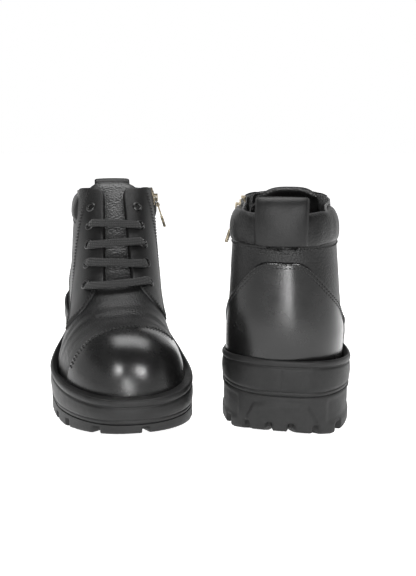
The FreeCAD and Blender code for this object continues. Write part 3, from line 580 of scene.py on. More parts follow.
def leather(name, greys, roughness, grain, grain_depth, specular, crease):
    """Black leather: pebbled or fine grain, faint creases, scuffs that lift the colour and dull the gloss."""
    material, tree, shader = new_material(name)
    cloud = noise_node(tree, 38, 6, 0.6).outputs["Fac"]
    drive(tree, cloud, (0.38, 0.75), greys, shader.inputs["Base Color"])
    drive(tree, cloud, (0.3, 0.8), roughness, shader.inputs["Roughness"])
    cells = texture_node(tree, "Voronoi", grain)
    cells.feature = "SMOOTH_F1"
    cells.inputs["Smoothness"].default_value = 0.45
    pores = noise_node(tree, grain * 2.6, 3, 0.6)
    folds = noise_node(tree, 55, 5, 0.65)
    folds.inputs["Distortion"].default_value = 1.2
    add_bumps(tree, shader, [
        (cells.outputs["Distance"], -grain_depth, 0.8),
        (pores.outputs["Fac"], grain_depth * 0.5, 0.5),
        (folds.outputs["Fac"], crease, 0.6),
    ])
    shader.inputs["Specular IOR Level"].default_value = specular
    return material


def rubber(name, greys, roughness):
    """Moulded rubber: fine grit over soft waves."""
    material, tree, shader = new_material(name)
    cloud = noise_node(tree, 60, 8, 0.7).outputs["Fac"]
    drive(tree, cloud, (0.35, 0.7), greys, shader.inputs["Base Color"])
    drive(tree, cloud, (0.3, 0.7), roughness, shader.inputs["Roughness"])
    grit = noise_node(tree, 1500, 3, 0.6)
    waves = noise_node(tree, 160, 3, 0.5)
    add_bumps(tree, shader, [(grit.outputs["Fac"], 0.00025, 0.5), (waves.outputs["Fac"], 0.0006, 0.35)])
    shader.inputs["Specular IOR Level"].default_value = 0.2
    return material


def fabric(name, colours, scale, depth, sheen=0.3, roughness=0.9):
    """Woven or knitted cloth; the higher the scale, the finer the weave."""
    material, tree, shader = new_material(name)
    weave = tree.nodes.new("ShaderNodeMath")
    weave.operation = "MULTIPLY"
    for run, socket in zip("XZ", weave.inputs):
        wave = texture_node(tree, "Wave", scale / 20)
        wave.bands_direction = run
        wave.inputs["Distortion"].default_value = 0.6
        tree.links.new(wave.outputs["Fac"], socket)
    drive(tree, weave.outputs[0], (0.0, 0.9), colours, shader.inputs["Base Color"])
    fuzz = noise_node(tree, scale * 1.5, 2, 0.6)
    add_bumps(tree, shader, [(weave.outputs[0], depth, 0.8), (fuzz.outputs["Fac"], depth * 0.6, 0.5)])
    shader.inputs["Roughness"].default_value = roughness
    shader.inputs["Sheen Weight"].default_value = sheen
    shader.inputs["Sheen Roughness"].default_value = 0.4
    return material


def fleece_material():
    """Short black pile that catches the light at its tips."""
    material, tree, shader = new_material("black_fleece")
    tufts = noise_node(tree, 420, 5, 0.7).outputs["Fac"]
    drive(tree, tufts, (0.35, 0.75), (0.004, 0.035), shader.inputs["Base Color"])
    add_bumps(tree, shader, [(tufts, 0.003, 0.9)])
    shader.inputs["Roughness"].default_value = 0.95
    shader.inputs["Sheen Weight"].default_value = 0.25
    return material


def metal(name, colours, roughness, tarnish=90):
    """Brushed metal, darker and duller where it has tarnished."""
    material, tree, shader = new_material(name)
    cloud = noise_node(tree, tarnish, 6, 0.65).outputs["Fac"]
    drive(tree, cloud, (0.35, 0.6), colours, shader.inputs["Base Color"])
    drive(tree, cloud, (0.35, 0.65), roughness, shader.inputs["Roughness"])
    scratches = noise_node(tree, 900, 3, 0.6)
    add_bumps(tree, shader, [(scratches.outputs["Fac"], 0.00012, 0.4)])
    shader.inputs["Metallic"].default_value = 1.0
    return material


# name, greys, roughness, grain scale, grain depth, specular level, crease depth
SMOOTH = leather("smooth_black_leather", (0.0035, 0.008), (0.22, 0.32), 1500, 0.00005, 0.4, 0.00003)
GRAIN = leather("pebbled_black_leather", (0.003, 0.008), (0.38, 0.52), 700, 0.00035, 0.26, 0.0004)
FACING_LEATHER = leather("facing_leather", (0.004, 0.01), (0.4, 0.54), 1100, 0.00015, 0.24, 0.0002)
TONGUE_LEATHER = leather("tongue_leather", (0.005, 0.014), (0.3, 0.46), 620, 0.0004, 0.4, 0.0003)
SOLE_RUBBER = rubber("sole_rubber", (0.007, 0.014), (0.4, 0.56))
TREAD_RUBBER = rubber("tread_rubber", (0.009, 0.018), (0.48, 0.66))
FLEECE = fleece_material()
LACE_CLOTH = fabric("lace_braid", (0.005, 0.018), 3400, 0.0004, 0.1)
TAPE_CLOTH = fabric("tape_weave", (0.006, 0.02), 2600, 0.0003)
THREAD = fabric("thread_twist", (0.003, 0.012), 5000, 0.0001, 0.05, 0.75)
BOARD = fabric("board_fibre", ((0.2, 0.15, 0.1, 1), (0.3, 0.24, 0.17, 1)), 1800, 0.0002)
FOAM_CLOTH = fabric("insole_cloth", (0.012, 0.035), 1500, 0.0004)
EYELET_METAL = metal("black_eyelet_metal", (0.02, 0.07), (0.4, 0.22))
BRASS = metal("antique_brass", ((0.05, 0.042, 0.032, 1), (0.3, 0.26, 0.19, 1)), (0.45, 0.22), 260)
STEEL = metal("bare_steel", (0.3, 0.5), (0.45, 0.25))

CAD_LOOKS = {
    "insole_board": BOARD, "shank": STEEL, "safety_toe": STEEL, "heel_stiffener": BOARD, "zip_teeth": BRASS,
    "zip_stops": BRASS, "zip_guard": SMOOTH, "zip_slider": BRASS, "zip_link": BRASS, "zip_pull": BRASS,
}  # fmt: skip
for boot in BOOTS:
    for part, look in CAD_LOOKS.items():
        node = frame["nodes"][f"{boot}_{part}"]
        node.data.materials.clear()
        node.data.materials.append(look)


# ---------------------------------------------------------------- the outlines of the leather pieces
BOTTOM_LINE = np.array([
    (-30, 52), (4, 51), (50, 44), (100, 39), (150, 34), (200, 30), (260, 29), (330, 30),
], float)
ZIP_TOP, ZIP_FOOT, ZIP_HALF = (92.5, 161.5), (78.0, 62.0), 5.5
TOE_DOME = Dome((222, 3, 28), (0.5, 0, 0.85))
VAMP_DOME = Dome((208, 0, 28), (-0.05, 0, 1))
GAP_TOP, GAP_FOOT = (8.0, 168.0), (11.7, 92.0)
OUTER, UNDER = -1.5, -2.7  # how far out of the upper the backs of the outer and the lower pieces lie
OUTLINE_STEP = 1.8
TIP_GAP = 0.04  # the toe cap's outline stops this short of the very tip
BACK_OVERLAP = 1.0  # the two quarters lap this far past the middle of the heel
SEAM_LAP = 4  # the quarters run this far on under the facings
VAMP_LAP = 5
COLLAR_LAP = 3
EDGE_DROP = 0.5  # the cut edges at the top end this far under the topline


def line_at(line, x):
    return np.interp(x, line[:, 0], line[:, 1])


def bottom(x):
    return line_at(BOTTOM_LINE, x)


def topline(x):
    return line_at(TOPLINE, x)


def gap_half(z):
    return GAP_TOP[0] + (GAP_FOOT[0] - GAP_TOP[0]) * (GAP_TOP[1] - z) / (GAP_TOP[1] - GAP_FOOT[1])


def zip_x(z):
    return ZIP_FOOT[0] + (z - ZIP_FOOT[1]) / (ZIP_TOP[1] - ZIP_FOOT[1]) * (ZIP_TOP[0] - ZIP_FOOT[0])


def cap_seam(y):
    return 247.5 - 0.28 * y - 9 * (y / 45) ** 2


def cap_edge(shift):
    """The seam across the toe, from the lateral side over to the medial, in 3-D."""
    y = np.linspace(-44, 43, 40)
    return plan_points(np.stack([cap_seam(y) + shift, y], -1))


def rim_points(x, side):
    """Points on the upper's lower edge."""
    return side_points(np.stack([x, bottom(x)], -1), side)


def top_points(x, side):
    """Points just under the upper's top edge."""
    return side_points(np.stack([x, topline(x) - EDGE_DROP], -1), side)


def zip_line(z, shift):
    """Points of the medial side beside the zip's middle line."""
    return side_points(np.stack([zip_x(z) + shift, z], -1), 1)


def toe_outline():
    """The toe cap's edge: the seam, then round the toe's rim."""
    seam = cap_edge(0)
    tail = []
    for side, start in ((1, seam[-1]), (-1, seam[0])):
        reach = UPPER_LENGTH - TIP_GAP - start[0]
        x = start[0] + reach * np.linspace(0, 1, 60) ** 0.5
        tail.append(rim_points(x, side))
    return [seam, tail[0], tail[1][::-1]]


def places(family, runs, side=0):
    """The closed outline of 3-D runs; side keeps a turn past straight behind on its own half."""
    rings = []
    for run in runs:
        place = family.place(even(np.asarray(run, float), 1.0))
        crossed = place[:, 1] * side < -100 * DEGREE
        place[:, 1] += np.where(crossed, side * 360 * DEGREE, 0)
        rings.append(even(place, OUTLINE_STEP))
    return ring_of(*rings)


def wing_curve(side):
    return side_points(curve(WING_LINE[side], 1.5), side)


def facing_rear(side):
    return side_points(curve(FACING_LINE[side], 1.5), side)


def gap_edge():
    """The edge of the facings beside the tongue, on the medial side; mirror it for the other."""
    z = np.linspace(GAP_FOOT[1], GAP_TOP[1] - 1.5, 40)
    return np.stack([z, gap_half(z)], -1)


def add_panel(name, family, outline, lift, thick, material, slot, seed, cell=3.0, shape=None):
    """A leather piece with slow waves in it, different for each seed."""
    def relief(points):
        waves = ripple(points, 26.0, 0.35, seed)
        return waves + shape(points) if shape else waves

    verts, faces = panel_mesh(family, outline, lift, thick, cell, relief)
    on_both(name, verts, faces, material, slot=slot, replaces=[name])


def add_stitches(name, rows):
    """Rows of (family, places, lift) as one thread piece."""
    parts = []
    for family, line, lift in rows:
        parts += stitches(family, line, lift)
    verts, faces = join(parts)
    on_both(name, verts, faces, THREAD, slot="lace_cord")


toe_ring = places(TOE_DOME, toe_outline())
add_panel("toe_cap", TOE_DOME, toe_ring, OUTER, 1.5, SMOOTH, "smooth_leather", seed=3.0, cell=2.6)


def rim_run(x_from, x_to, side):
    return rim_points(np.linspace(x_from, x_to, 40), side)


def vamp_relief(points):
    """Shallow creases across the top of the vamp."""
    across = np.exp(-((points[:, 0] - 214) / 16) ** 2)
    crossing = points[:, 0] * 0.9 + 0.12 * points[:, 1] + ripple(points, 30.0, 3.0)
    return 0.35 * across * np.sin(crossing / 1.9)


def vamp_outline():
    """From under the cap's seam, back along the rim, to under the facings' wings."""
    front = cap_edge(6)
    medial, lateral = (wing_curve(side) - np.array([VAMP_LAP, 0, 0]) for side in (1, -1))
    rim_medial = rim_run(front[-1][0], medial[-1][0], 1)
    rim_lateral = rim_run(lateral[-1][0], front[0][0], -1)
    return places(VAMP_DOME, [front, rim_medial, medial[::-1], lateral, rim_lateral])


add_panel("vamp", VAMP_DOME, vamp_outline(), UNDER, 1.5, GRAIN, "grain_leather", seed=9.0, shape=vamp_relief)


def back_seam(z_from, z_to, side):
    """Points down the middle of the heel, where the two quarters lap over each other."""
    z = np.linspace(z_from, z_to, 50)
    return np.stack([shaft_back(z) + 0.02, shaft_lean(z) - side * BACK_OVERLAP, z], -1)


def side_run(start, stop, side, count=30):
    """A straight side-view line laid on the upper."""
    t = np.linspace(0, 1, count)[:, None]
    return side_points(np.array(start) * (1 - t) + np.array(stop) * t, side)


JOINT_X, ZIP_CORNER_Z, BACK_FOOT = 78, 60, 48
HEEL_START = 8.5  # where the quarters' tops start


def quarter_front(side):
    """A quarter's front edge, which the facing covers: the wing's lower end and a line beside its rear."""
    wing = side_points(curve(np.vstack([FACING_LINE[side][-1:], WING_LINE[side][-2:]]), 1.5), side)
    rear = facing_rear(side) + np.array([SEAM_LAP, 0, 0])
    return wing, side_points(rear[:, [0, 2]], side)


def quarter_lateral_outline():
    wing, rear = quarter_front(-1)
    low = rim_points(np.linspace(188, 16, 60), -1)
    top_z = COLLAR_FOOT + COLLAR_LAP
    back = back_seam(BACK_FOOT, top_z, -1)
    collar = side_run((HEEL_START, top_z), (110, top_z), -1, 50)
    collar_end = side_run((110, top_z), (98, topline(98) - EDGE_DROP), -1)
    top = top_points(np.linspace(98, 116, 12), -1)
    return places(Fan, [wing, low, back, collar, collar_end, top, rear], side=-1)


def zip_foot(side):
    """The joint under the zip, and its way round the slot's lower corner, ahead or behind."""
    joint = side_run((JOINT_X, bottom(JOINT_X)), (JOINT_X, ZIP_CORNER_Z - 2), 1)
    corner = side_run((JOINT_X, ZIP_CORNER_Z - 2), (JOINT_X + side * ZIP_HALF, ZIP_CORNER_Z), 1, 8)
    return joint, corner


def zip_edge(z_top, side):
    return zip_line(np.linspace(ZIP_CORNER_Z, z_top, 40), side * ZIP_HALF)


def quarter_medial_front_outline():
    wing, rear = quarter_front(1)
    low = rim_points(np.linspace(174, JOINT_X, 40), 1)
    joint, corner = zip_foot(1)
    slot = zip_edge(topline(zip_x(160) + ZIP_HALF) - EDGE_DROP, 1)
    top = top_points(np.linspace(slot[-1][0], 113, 16), 1)
    return places(Fan, [wing, low, joint, corner, slot, top, rear])


def quarter_medial_rear_outline():
    top_z = COLLAR_FOOT + COLLAR_LAP
    joint, corner = zip_foot(-1)
    slot = zip_edge(top_z, -1)
    collar = side_run((slot[-1][0], top_z), (HEEL_START, top_z), 1, 50)
    back = back_seam(top_z, BACK_FOOT, 1)
    low = rim_points(np.linspace(16, JOINT_X, 30), 1)
    return places(Fan, [joint, corner, slot, collar, back, low], side=1)


# height from the gap's top, y
FACING_CORNER = np.array([(-7.5, 8.5), (-4.5, 9.4), (-2.2, 11.6), (-1.2, 15.0)])


def facing_outline(side):
    """Round the facing: up beside the tongue, over the top, down the rear seam and back along the wing."""
    corner = np.array([GAP_TOP[1], 0]) + FACING_CORNER
    gap = gap_edge()
    gap = gap[gap[:, 0] < corner[0, 0]]
    gap = np.vstack([gap, curve(corner, 1.0)[1:]]) * np.array([1, side])
    inner = front_points(gap)
    rear = facing_rear(side)
    rear = rear[rear[:, 2] < topline(rear[0][0]) - EDGE_DROP]
    run = np.linspace(0, 1, 14)[:, None]
    top = front_points(inner[-1][[2, 1]] * (1 - run) + rear[0][[2, 1]] * run)
    wing = wing_curve(side)
    stop = np.argmin(np.linalg.norm(wing - rear[-1], axis=1))
    start = np.argmin(np.abs(np.abs(wing[:, 1]) - 12.0))
    return places(Fan, [inner[::-1], wing[start: stop + 1], rear[::-1], top[::-1]])


for side, name in ((-1, "facing_lateral"), (1, "facing_medial")):
    ring = facing_outline(side)
    add_panel(name, Fan, ring, OUTER - 1.5, 3.1, FACING_LEATHER, "smooth_leather", seed=side * 5.0, cell=2.6)
for name, outline in (
    ("quarter_lateral", quarter_lateral_outline()),
    ("quarter_medial_front", quarter_medial_front_outline()),
    ("quarter_medial_rear", quarter_medial_rear_outline()),
):
    add_panel(name, Fan, outline, UNDER, 1.6, GRAIN, "grain_leather", seed=len(name))


class BackRings(Rings):
    """Rings whose turn is counted from straight behind."""

    @staticmethod
    def rays(a, b):
        return Rings.rays(a, b + 180 * DEGREE)

    @staticmethod
    def place(p):
        turn = np.arctan2(-(p[..., 1] - shaft_lean(p[..., 2])), -(p[..., 0] - shaft_widest(p[..., 2])))
        return np.stack([p[..., 2], np.degrees(turn) * DEGREE], axis=-1)


def counter_outline():
    """The counter's closed edge as (height, distance round from the middle of the heel)."""
    edge = curve(COUNTER_EDGE, 1.5)
    low = BackRings.place(rim_points(np.linspace(88, 6, 50), 1))[:, ::-1]
    half = np.vstack([edge[edge[:, 1] > low[0, 1]], low])
    half = even(half[:, ::-1], 1.8)
    mirrored = half[::-1] * np.array([1, -1])
    return ring_of(half, mirrored)


add_panel("heel_counter", BackRings, counter_outline(), OUTER, 1.6, SMOOTH, "smooth_leather", seed=21.0)


# ---------------------------------------------------------------- collar, lining, tongue and loop
COLLAR_PROFILE = [  # height from the collar's foot, distance out of the upper
    (0.0, -1.8), (0.2, -0.4), (1.8, 0.5), (5.5, 1.3), (10.5, 1.5), (15.5, 0.9), (19.5, -0.6), (22.0, -3.4),
    (21.6, -6.4), (18.5, -8.8), (13.0, -9.6), (6.0, -9.4), (-2.0, -8.4), (-4.0, -5.0), (-2.5, -2.6),
]  # fmt: skip


COLLAR_DEEP, COLLAR_END = 3.5, 4  # the roll's middle inside the upper; how many rings its ends close over


def collar_mesh():
    """The padded roll round the top, from the zip round the back to the lateral facing."""
    profile = curve(COLLAR_PROFILE + COLLAR_PROFILE[:1], 1.5)[:-1]
    lateral_end = Rings.place(side_points([(106, 146)], -1))[0, 1]
    medial_end = Rings.place(zip_line(np.array([147.0]), -ZIP_HALF))[0, 1]
    stations = np.linspace(medial_end, 360 * DEGREE + lateral_end, 150)
    verts = []
    count = len(stations)
    base_z, middle = COLLAR_FOOT + profile[:, 0], COLLAR_FOOT + 9
    for k, turn in enumerate(stations):
        from_end = min(k, count - 1 - k)
        full = math.sqrt(1 - (1 - min(from_end / COLLAR_END, 1)) ** 2)
        z = middle + (base_z - middle) * (0.9 + 0.1 * full)
        points, normals = surface(Rings, np.clip(z, 128, 158), np.full(len(z), turn))
        points[:, 2] = z
        normals[:, 2] *= 0.2
        out = (profile[:, 1] + COLLAR_DEEP) * (0.35 + 0.65 * full) - COLLAR_DEEP
        verts.append(points + normals * out[:, None])
    verts = np.array(verts)
    flat = verts.reshape(-1, 3)
    centre = verts.mean(1, keepdims=True)
    puff = unit((verts - centre).reshape(-1, 3))
    tucks = ripple(flat * np.array([1, 1, 0.3]), 9.0, 0.55, 4.0) + ripple(flat, 30.0, 0.7, 8.0)
    flat = flat + puff * tucks[:, None]
    size = len(profile)
    faces = grid_faces(count, size, closed_columns=True)
    faces += [tuple(range(size)), tuple(range(count * size - 1, count * size - size - 1, -1))]
    return flat, faces


verts, faces = collar_mesh()
for piece in on_both("collar_pad", verts, faces, GRAIN, slot="grain_leather", replaces=["collar_pad"]):
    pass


def lining_mesh():
    """The fleece inside the shaft and behind the facings, with its pile showing as small tufts."""
    up = np.concatenate([np.linspace(0, 0.66, 22), np.linspace(0.67, 1, 30)])
    turns = np.linspace(14, 346, 170) * DEGREE
    up, turn = np.meshgrid(up, turns, indexing="ij")
    front = smooth((180 - np.abs(turn / DEGREE - 180) - 52) / 26)
    brim = topline(surface(Rings, np.full(turn.shape, 160.0), turn)[0][..., 0]) - 1.6
    z = 44 + (brim - 44) * up
    points, normals = surface(Rings, z, turn)
    deep = (3.1 + 5.0 * front) + 2.4 * front * smooth((128 - z) / 10)
    inner = points - normals * deep[..., None]
    tuft = ripple(inner.reshape(-1, 3), 3.2, 1.0, 2.0).reshape(z.shape)
    tuft = tuft + ripple(inner.reshape(-1, 3), 1.6, 0.6, 7.0).reshape(z.shape)
    inner = inner - normals * (np.clip(tuft, -1, 1) * (0.35 + 0.65 * front))[..., None]
    outer = points - normals * (deep - 1.2)[..., None]
    return shell_mesh(inner, outer)


def shell_mesh(inner, outer):
    """Two grids, back to back, closed round their edges; the first faces inwards."""
    rows, columns = inner.shape[:2]
    count = rows * columns
    faces = [f[::-1] for f in grid_faces(rows, columns)]
    faces += [tuple(i + count for i in face[::-1]) for face in faces]
    rim = grid_rim(rows, columns)
    for a, b in zip(rim, rim[1:] + rim[:1]):
        faces.append((a, b, b + count, a + count))
    return np.vstack([inner.reshape(-1, 3), outer.reshape(-1, 3)]), faces


verts, faces = lining_mesh()
on_both("lining", verts, faces, FLEECE, slot="fleece", replaces=["lining"])

BOARD_TOP = np.array([(-30, 42), (80, 42), (190, 28), (240, 28), (330, 36)], float)
FOOTBED_ENDS, FOOTBED_STATIONS, FOOTBED_INSET, FOOTBED_DEEP = (13, 279), 90, 7.5, 3.6


def footbed_mesh():
    """The removable footbed: a soft dish with a raised heel cup, lying on the insole board."""
    heel, toe = FOOTBED_ENDS
    x = heel + (toe - heel) * (1 - np.cos(np.linspace(0.02, 0.98, FOOTBED_STATIONS) * math.pi)) / 2
    z = line_at(BOARD_TOP, x) + 0.2
    medial, lateral = (side_points(np.stack([x, z + 6], -1), side)[:, 1] for side in (1, -1))
    middle, half = (medial + lateral) / 2, (medial - lateral) / 2
    half = np.maximum(half - FOOTBED_INSET, 1.5)
    centre = (heel + toe) / 2
    reach = centre + (x - centre) * 0.985
    across = np.sin(np.linspace(-1, 1, 41) * math.pi / 2)
    spread, station = np.meshgrid(across, np.arange(FOOTBED_STATIONS), indexing="ij")
    y = middle[station] + spread * half[station]
    top = np.stack([reach[station], y, z[station] + FOOTBED_DEEP], -1)
    cup = smooth((120 - top[..., 0]) / 90)
    top[..., 2] += (0.5 + 2.2 * cup) * spread ** 4 - 1.2 * cup * (1 - spread ** 2)
    under = np.stack([reach[station], y, z[station]], -1)
    return shell_mesh(under, top)


verts, faces = footbed_mesh()
on_both("footbed", verts, faces, FOAM_CLOTH, slot="foam", replaces=["footbed"])

TONGUE_ROWS, TONGUE_COLUMNS, TONGUE_TURNED = 90, 45, 9
TONGUE_HALF, TONGUE_FOOT, TONGUE_TOP, TONGUE_ARC = 29.0, 86.0, 175.5, 10.0


def tongue_surface(down, across):
    """Places on the tongue's front face, by two shares along it and across it; across runs from -1 to 1."""
    half = TONGUE_HALF * (0.72 + 0.28 * smooth(down * 2.2))
    y = half * across
    top = TONGUE_TOP - TONGUE_ARC * across**2 * np.abs(across)
    z = TONGUE_FOOT + (top - TONGUE_FOOT) * down
    return y, z


def tongue_mesh():
    """The tongue's points and its front, back and edge faces: a pad that thins out to its sides and top."""
    rows, columns = TONGUE_ROWS, TONGUE_COLUMNS
    down, across = np.meshgrid(np.linspace(0, 1, rows), np.linspace(-1, 1, columns), indexing="ij")
    y, z = tongue_surface(down, across)
    front = front_points(np.stack([z.ravel(), y.ravel()], -1)).reshape(rows, columns, 3)
    normal = outward(front)
    inset = 5.6 + 1.3 * smooth((down - 0.93) / 0.07)
    from_side = np.sqrt(np.clip(1 - np.abs(across) ** 7, 0, 1))
    from_top = np.sqrt(np.clip(1 - np.clip((down - 0.955) / 0.045, 0, 1) ** 2, 0, 1))
    thick = 2.0 + 4.4 * from_side * from_top
    pad = ripple(front.reshape(-1, 3), 20.0, 0.7, 5.0).reshape(rows, columns)
    outer = front - normal * (inset - (thick - 4.2) * 0.35 - pad)[..., None]
    inner = front - normal * (inset + thick * 0.75)[..., None]
    verts = np.vstack([outer.reshape(-1, 3), inner.reshape(-1, 3)])
    count = rows * columns
    faces = grid_faces(rows, columns)
    lining = [tuple(i + count for i in face[::-1]) for face in faces]
    rim = grid_rim(rows, columns)
    band = [(b, a, a + count, b + count) for a, b in zip(rim, rim[1:] + rim[:1])]
    return verts, faces, lining, band


def tongue_fleece(count):
    """Which of the tongue's back faces are fleece: all but the leather turned over its edge."""
    row, column = np.divmod(np.arange(count), TONGUE_COLUMNS - 1)
    across = np.abs(column / (TONGUE_COLUMNS - 2) * 2 - 1)
    return (row < TONGUE_ROWS - TONGUE_TURNED) & (across < 0.86)


def add_tongue():
    verts, faces, lining, band = tongue_mesh()
    for boot in BOOTS:
        shell = faces + band + lining
        piece = add_mesh(boot, "tongue", verts, shell, TONGUE_LEATHER, "grain_leather", ["tongue"])
        piece.data.materials.append(FLEECE)
        shown = len(faces) + len(band)
        for face, fleecy in zip(piece.data.polygons[shown:], tongue_fleece(len(lining))):
            face.material_index = int(fleecy)


add_tongue()


LOOP_HALF, LOOP_THICK, LOOP_MIDDLE, BACK_RADIUS = 18.2, 1.0, 150.0, 62.0
LOOP_PATH = [  # height, distance out of the upper
    (136.6, 3.4), (140, 4.6), (146, 5.0), (153, 4.5), (160, 3.0), (165, 0.6), (167.6, -2.6), (167.2, -5.4),
    (164.0, -8.4), (159, -10.2), (152, -10.8), (145, -10.6),
]  # fmt: skip


def loop_mesh():
    """The folded pull strap: up the outside of the collar, over and down inside it."""
    path = curve(LOOP_PATH, 1.0)
    tangent = direction(path)
    out = np.stack([-tangent[:, 1], tangent[:, 0]], -1)
    verts = []
    for across, off in loop_section():
        turn = (180 - np.degrees(across / BACK_RADIUS)) * DEGREE
        anchor, normal = surface(Rings, np.full(len(path), LOOP_MIDDLE), np.full(len(path), turn))
        normal[:, 2] = 0
        lift = off + 0.5 * (1 - (across / LOOP_HALF) ** 2)
        points = anchor + normal * (path[:, 1] + out[:, 1] * lift)[:, None]
        points[:, 1] = shaft_lean(LOOP_MIDDLE) + across
        points[:, 2] = path[:, 0] + out[:, 0] * lift
        verts.append(points)
    verts = np.array(verts)
    rows, columns = verts.shape[:2]
    first, last = strip_ends(rows, columns)
    return verts.reshape(-1, 3), grid_faces(rows, columns, closed_rows=True) + [first, last[::-1]]


def loop_section():
    """The strap's flat section with rolled edges, as (distance across, distance off its middle)."""
    spread = np.linspace(-1, 1, 25)
    upper = [(across * LOOP_HALF, LOOP_THICK * (1 - abs(across) ** 14) ** 0.5) for across in spread]
    lower = [(across, -off) for across, off in upper[-2:0:-1]]
    return upper + lower


verts, faces = loop_mesh()
on_both("pull_loop", verts, faces, FACING_LEATHER, slot="smooth_leather", replaces=["pull_loop"])


# ---------------------------------------------------------------- laces, eyelets and zip
EYELET_TOP, EYELET_PITCH, EYELET_COUNT = 149.5, 15, 5
EYELET_OFFSETS = (20.4, 27)  # from the middle, at the top row and at the bottom row
LACE_HALF, LACE_THICK, LACE_SIDES, LACE_STEP = 3.9, 1.2, 14, 0.35
RIB_DEPTH, RIB_LENGTH = 0.10, 1.15


def eyelet_z(row):
    return EYELET_TOP - EYELET_PITCH * row


def eyelet_y(row):
    top, foot = EYELET_OFFSETS
    return top + (foot - top) * row / (EYELET_COUNT - 1)


def lace_bar(row):
    """One bar of flat lace across the tongue, diving into the eyelet at each end."""
    reach = eyelet_y(row)
    y = np.concatenate([[-reach], np.linspace(-reach + 0.8, reach - 0.8, 45), [reach]])
    tilt = 1.3 * (-1) ** row
    z = eyelet_z(row) + tilt * y / reach + 0.8 * np.cos(y / reach * math.pi / 2)
    points = front_points(np.stack([z, y], -1))
    normal = outward(points)
    edge = np.clip((reach - np.abs(y)) / 4.5, 0, 1)
    lift = -0.8 + 3.6 * np.sqrt(1 - (1 - edge) ** 2)
    lift = lift + 0.5 * np.cos(y / reach * math.pi / 2)
    centre = points + normal * lift[:, None]
    tangent = direction(centre)
    side = unit(np.cross(normal, tangent))
    face = np.cross(tangent, side)
    half = LACE_HALF * (0.5 + 0.5 * np.sqrt(1 - (1 - np.clip((reach - np.abs(y)) / 7, 0, 1)) ** 2))
    along = run_length(centre)
    reads = np.arange(0, along[-1], LACE_STEP)
    lines = [read_line(line, along, reads) for line in (centre, side, face, half[:, None])]
    verts = []
    for s, at, across, up, width in zip(reads, *lines):
        rib = RIB_DEPTH * math.sin(s * 2 * math.pi / RIB_LENGTH)
        for turn in np.arange(LACE_SIDES) * 2 * math.pi / LACE_SIDES:
            c, d = math.cos(turn), math.sin(turn)
            flat = math.copysign(abs(c) ** 0.45, c) * (width[0] + rib * 0.5)
            rise = math.copysign(abs(d) ** 0.7, d) * (LACE_THICK / 2 + rib)
            verts.append(at + across * flat + up * rise)
    count = len(reads)
    faces = grid_faces(count, LACE_SIDES, closed_columns=True)
    faces += [tuple(range(LACE_SIDES))[::-1], tuple(range((count - 1) * LACE_SIDES, count * LACE_SIDES))]
    return np.array(verts), faces


verts, faces = join([lace_bar(row) for row in range(1, EYELET_COUNT)])
on_both("lace", verts, faces, LACE_CLOTH, slot="lace_cord", replaces=["lace", "aglets"])


EYELET_PROFILE = [  # radius, height over the leather
    (2.3, -2.85), (2.3, 0.35), (2.5, 0.9), (3.1, 1.2), (3.8, 1.05), (4.35, 0.6), (4.6, 0.05), (4.3, -0.25),
    (3.0, -0.45), (2.9, -2.85),
]  # fmt: skip
EYELET_TURNS = 28


def eyelet(row, side):
    """A rolled ring, its barrel running down through the facing."""
    point = front_points([(eyelet_z(row), side * eyelet_y(row))])
    normal = outward(point)[0]
    across = unit(np.cross(normal, [0, 0, 1.0]))
    up = np.cross(across, normal)
    profile = curve(EYELET_PROFILE, 0.45)
    verts = []
    for turn in np.arange(EYELET_TURNS) * 2 * math.pi / EYELET_TURNS:
        out = across * math.cos(turn) + up * math.sin(turn)
        verts.append(point + out * profile[:, :1] + normal * profile[:, 1:])
    faces = grid_faces(EYELET_TURNS, len(profile), closed_rows=True, closed_columns=True)
    return np.vstack(verts), [face[::-1] for face in faces]


for side, name in ((-1, "eyelets_lateral"), (1, "eyelets_medial")):
    verts, faces = join([eyelet(row, side) for row in range(EYELET_COUNT)])
    on_both(name, verts, faces, EYELET_METAL, slot="eyelet_metal", replaces=[name])


TAPE_HALF, TAPE_LIFT, TAPE_THICK, TAPE_ENDS = 8.5, -3.9, 0.8, (58, 158)


def tape_mesh():
    """The strip of woven tape behind the zip, up the medial side."""
    z = np.linspace(*TAPE_ENDS, 90)
    verts = []
    for lift, way in ((TAPE_LIFT, 1), (TAPE_LIFT - TAPE_THICK, -1)):
        for across in np.linspace(-TAPE_HALF, TAPE_HALF, 9) * way:
            points = zip_line(z, across)
            verts.append(points + outward(points) * lift)
    verts = np.array(verts)
    rows, columns = verts.shape[:2]
    first, last = strip_ends(rows, columns)
    faces = [face[::-1] for face in grid_faces(rows, columns, closed_rows=True)]
    return verts.reshape(-1, 3), faces + [first[::-1], last]


verts, faces = tape_mesh()
on_both("zip_tape", verts, faces, TAPE_CLOTH, slot="tape_fabric", replaces=["zip_tape"])


# ---------------------------------------------------------------- sole
RAND_TOP = np.array([
    (-30, 58), (4, 57), (50, 50), (100, 45), (150, 40), (200, 36), (260, 35), (330, 36),
], float)
BAND_FOOT = np.array([(-30, 31), (50, 30), (100, 25), (190, 14), (250, 13), (330, 21)], float)
GROUND = np.array([(-30, 12), (0, 4), (12, 0), (88, 0), (94, 10), (120, 9), (130, 0), (215, 0), (260, 3.5),
                   (330, 17)], float)  # fmt: skip
SIDE_NOTCHES = (18, 44, 70, 146, 166, 186, 206, 226, 246, 266)
HEEL_NOTCHES, TOE_NOTCHES = (-24, -8, 8, 24), (-22, 12)
NOTCH_HALF, NOTCH_HEIGHT, NOTCH_DEPTH = 2.3, 6.0, 6.5


SOLE_BALL_HALF, SOLE_WAIST_HALF, SOLE_HEEL_HALF = 53, 44, 47
SOLE_BACK, HEEL_WIDEST, WAIST_STATION, SOLE_POWER = -1, 50, 115, 2.3
SOLE_POINTS = 760


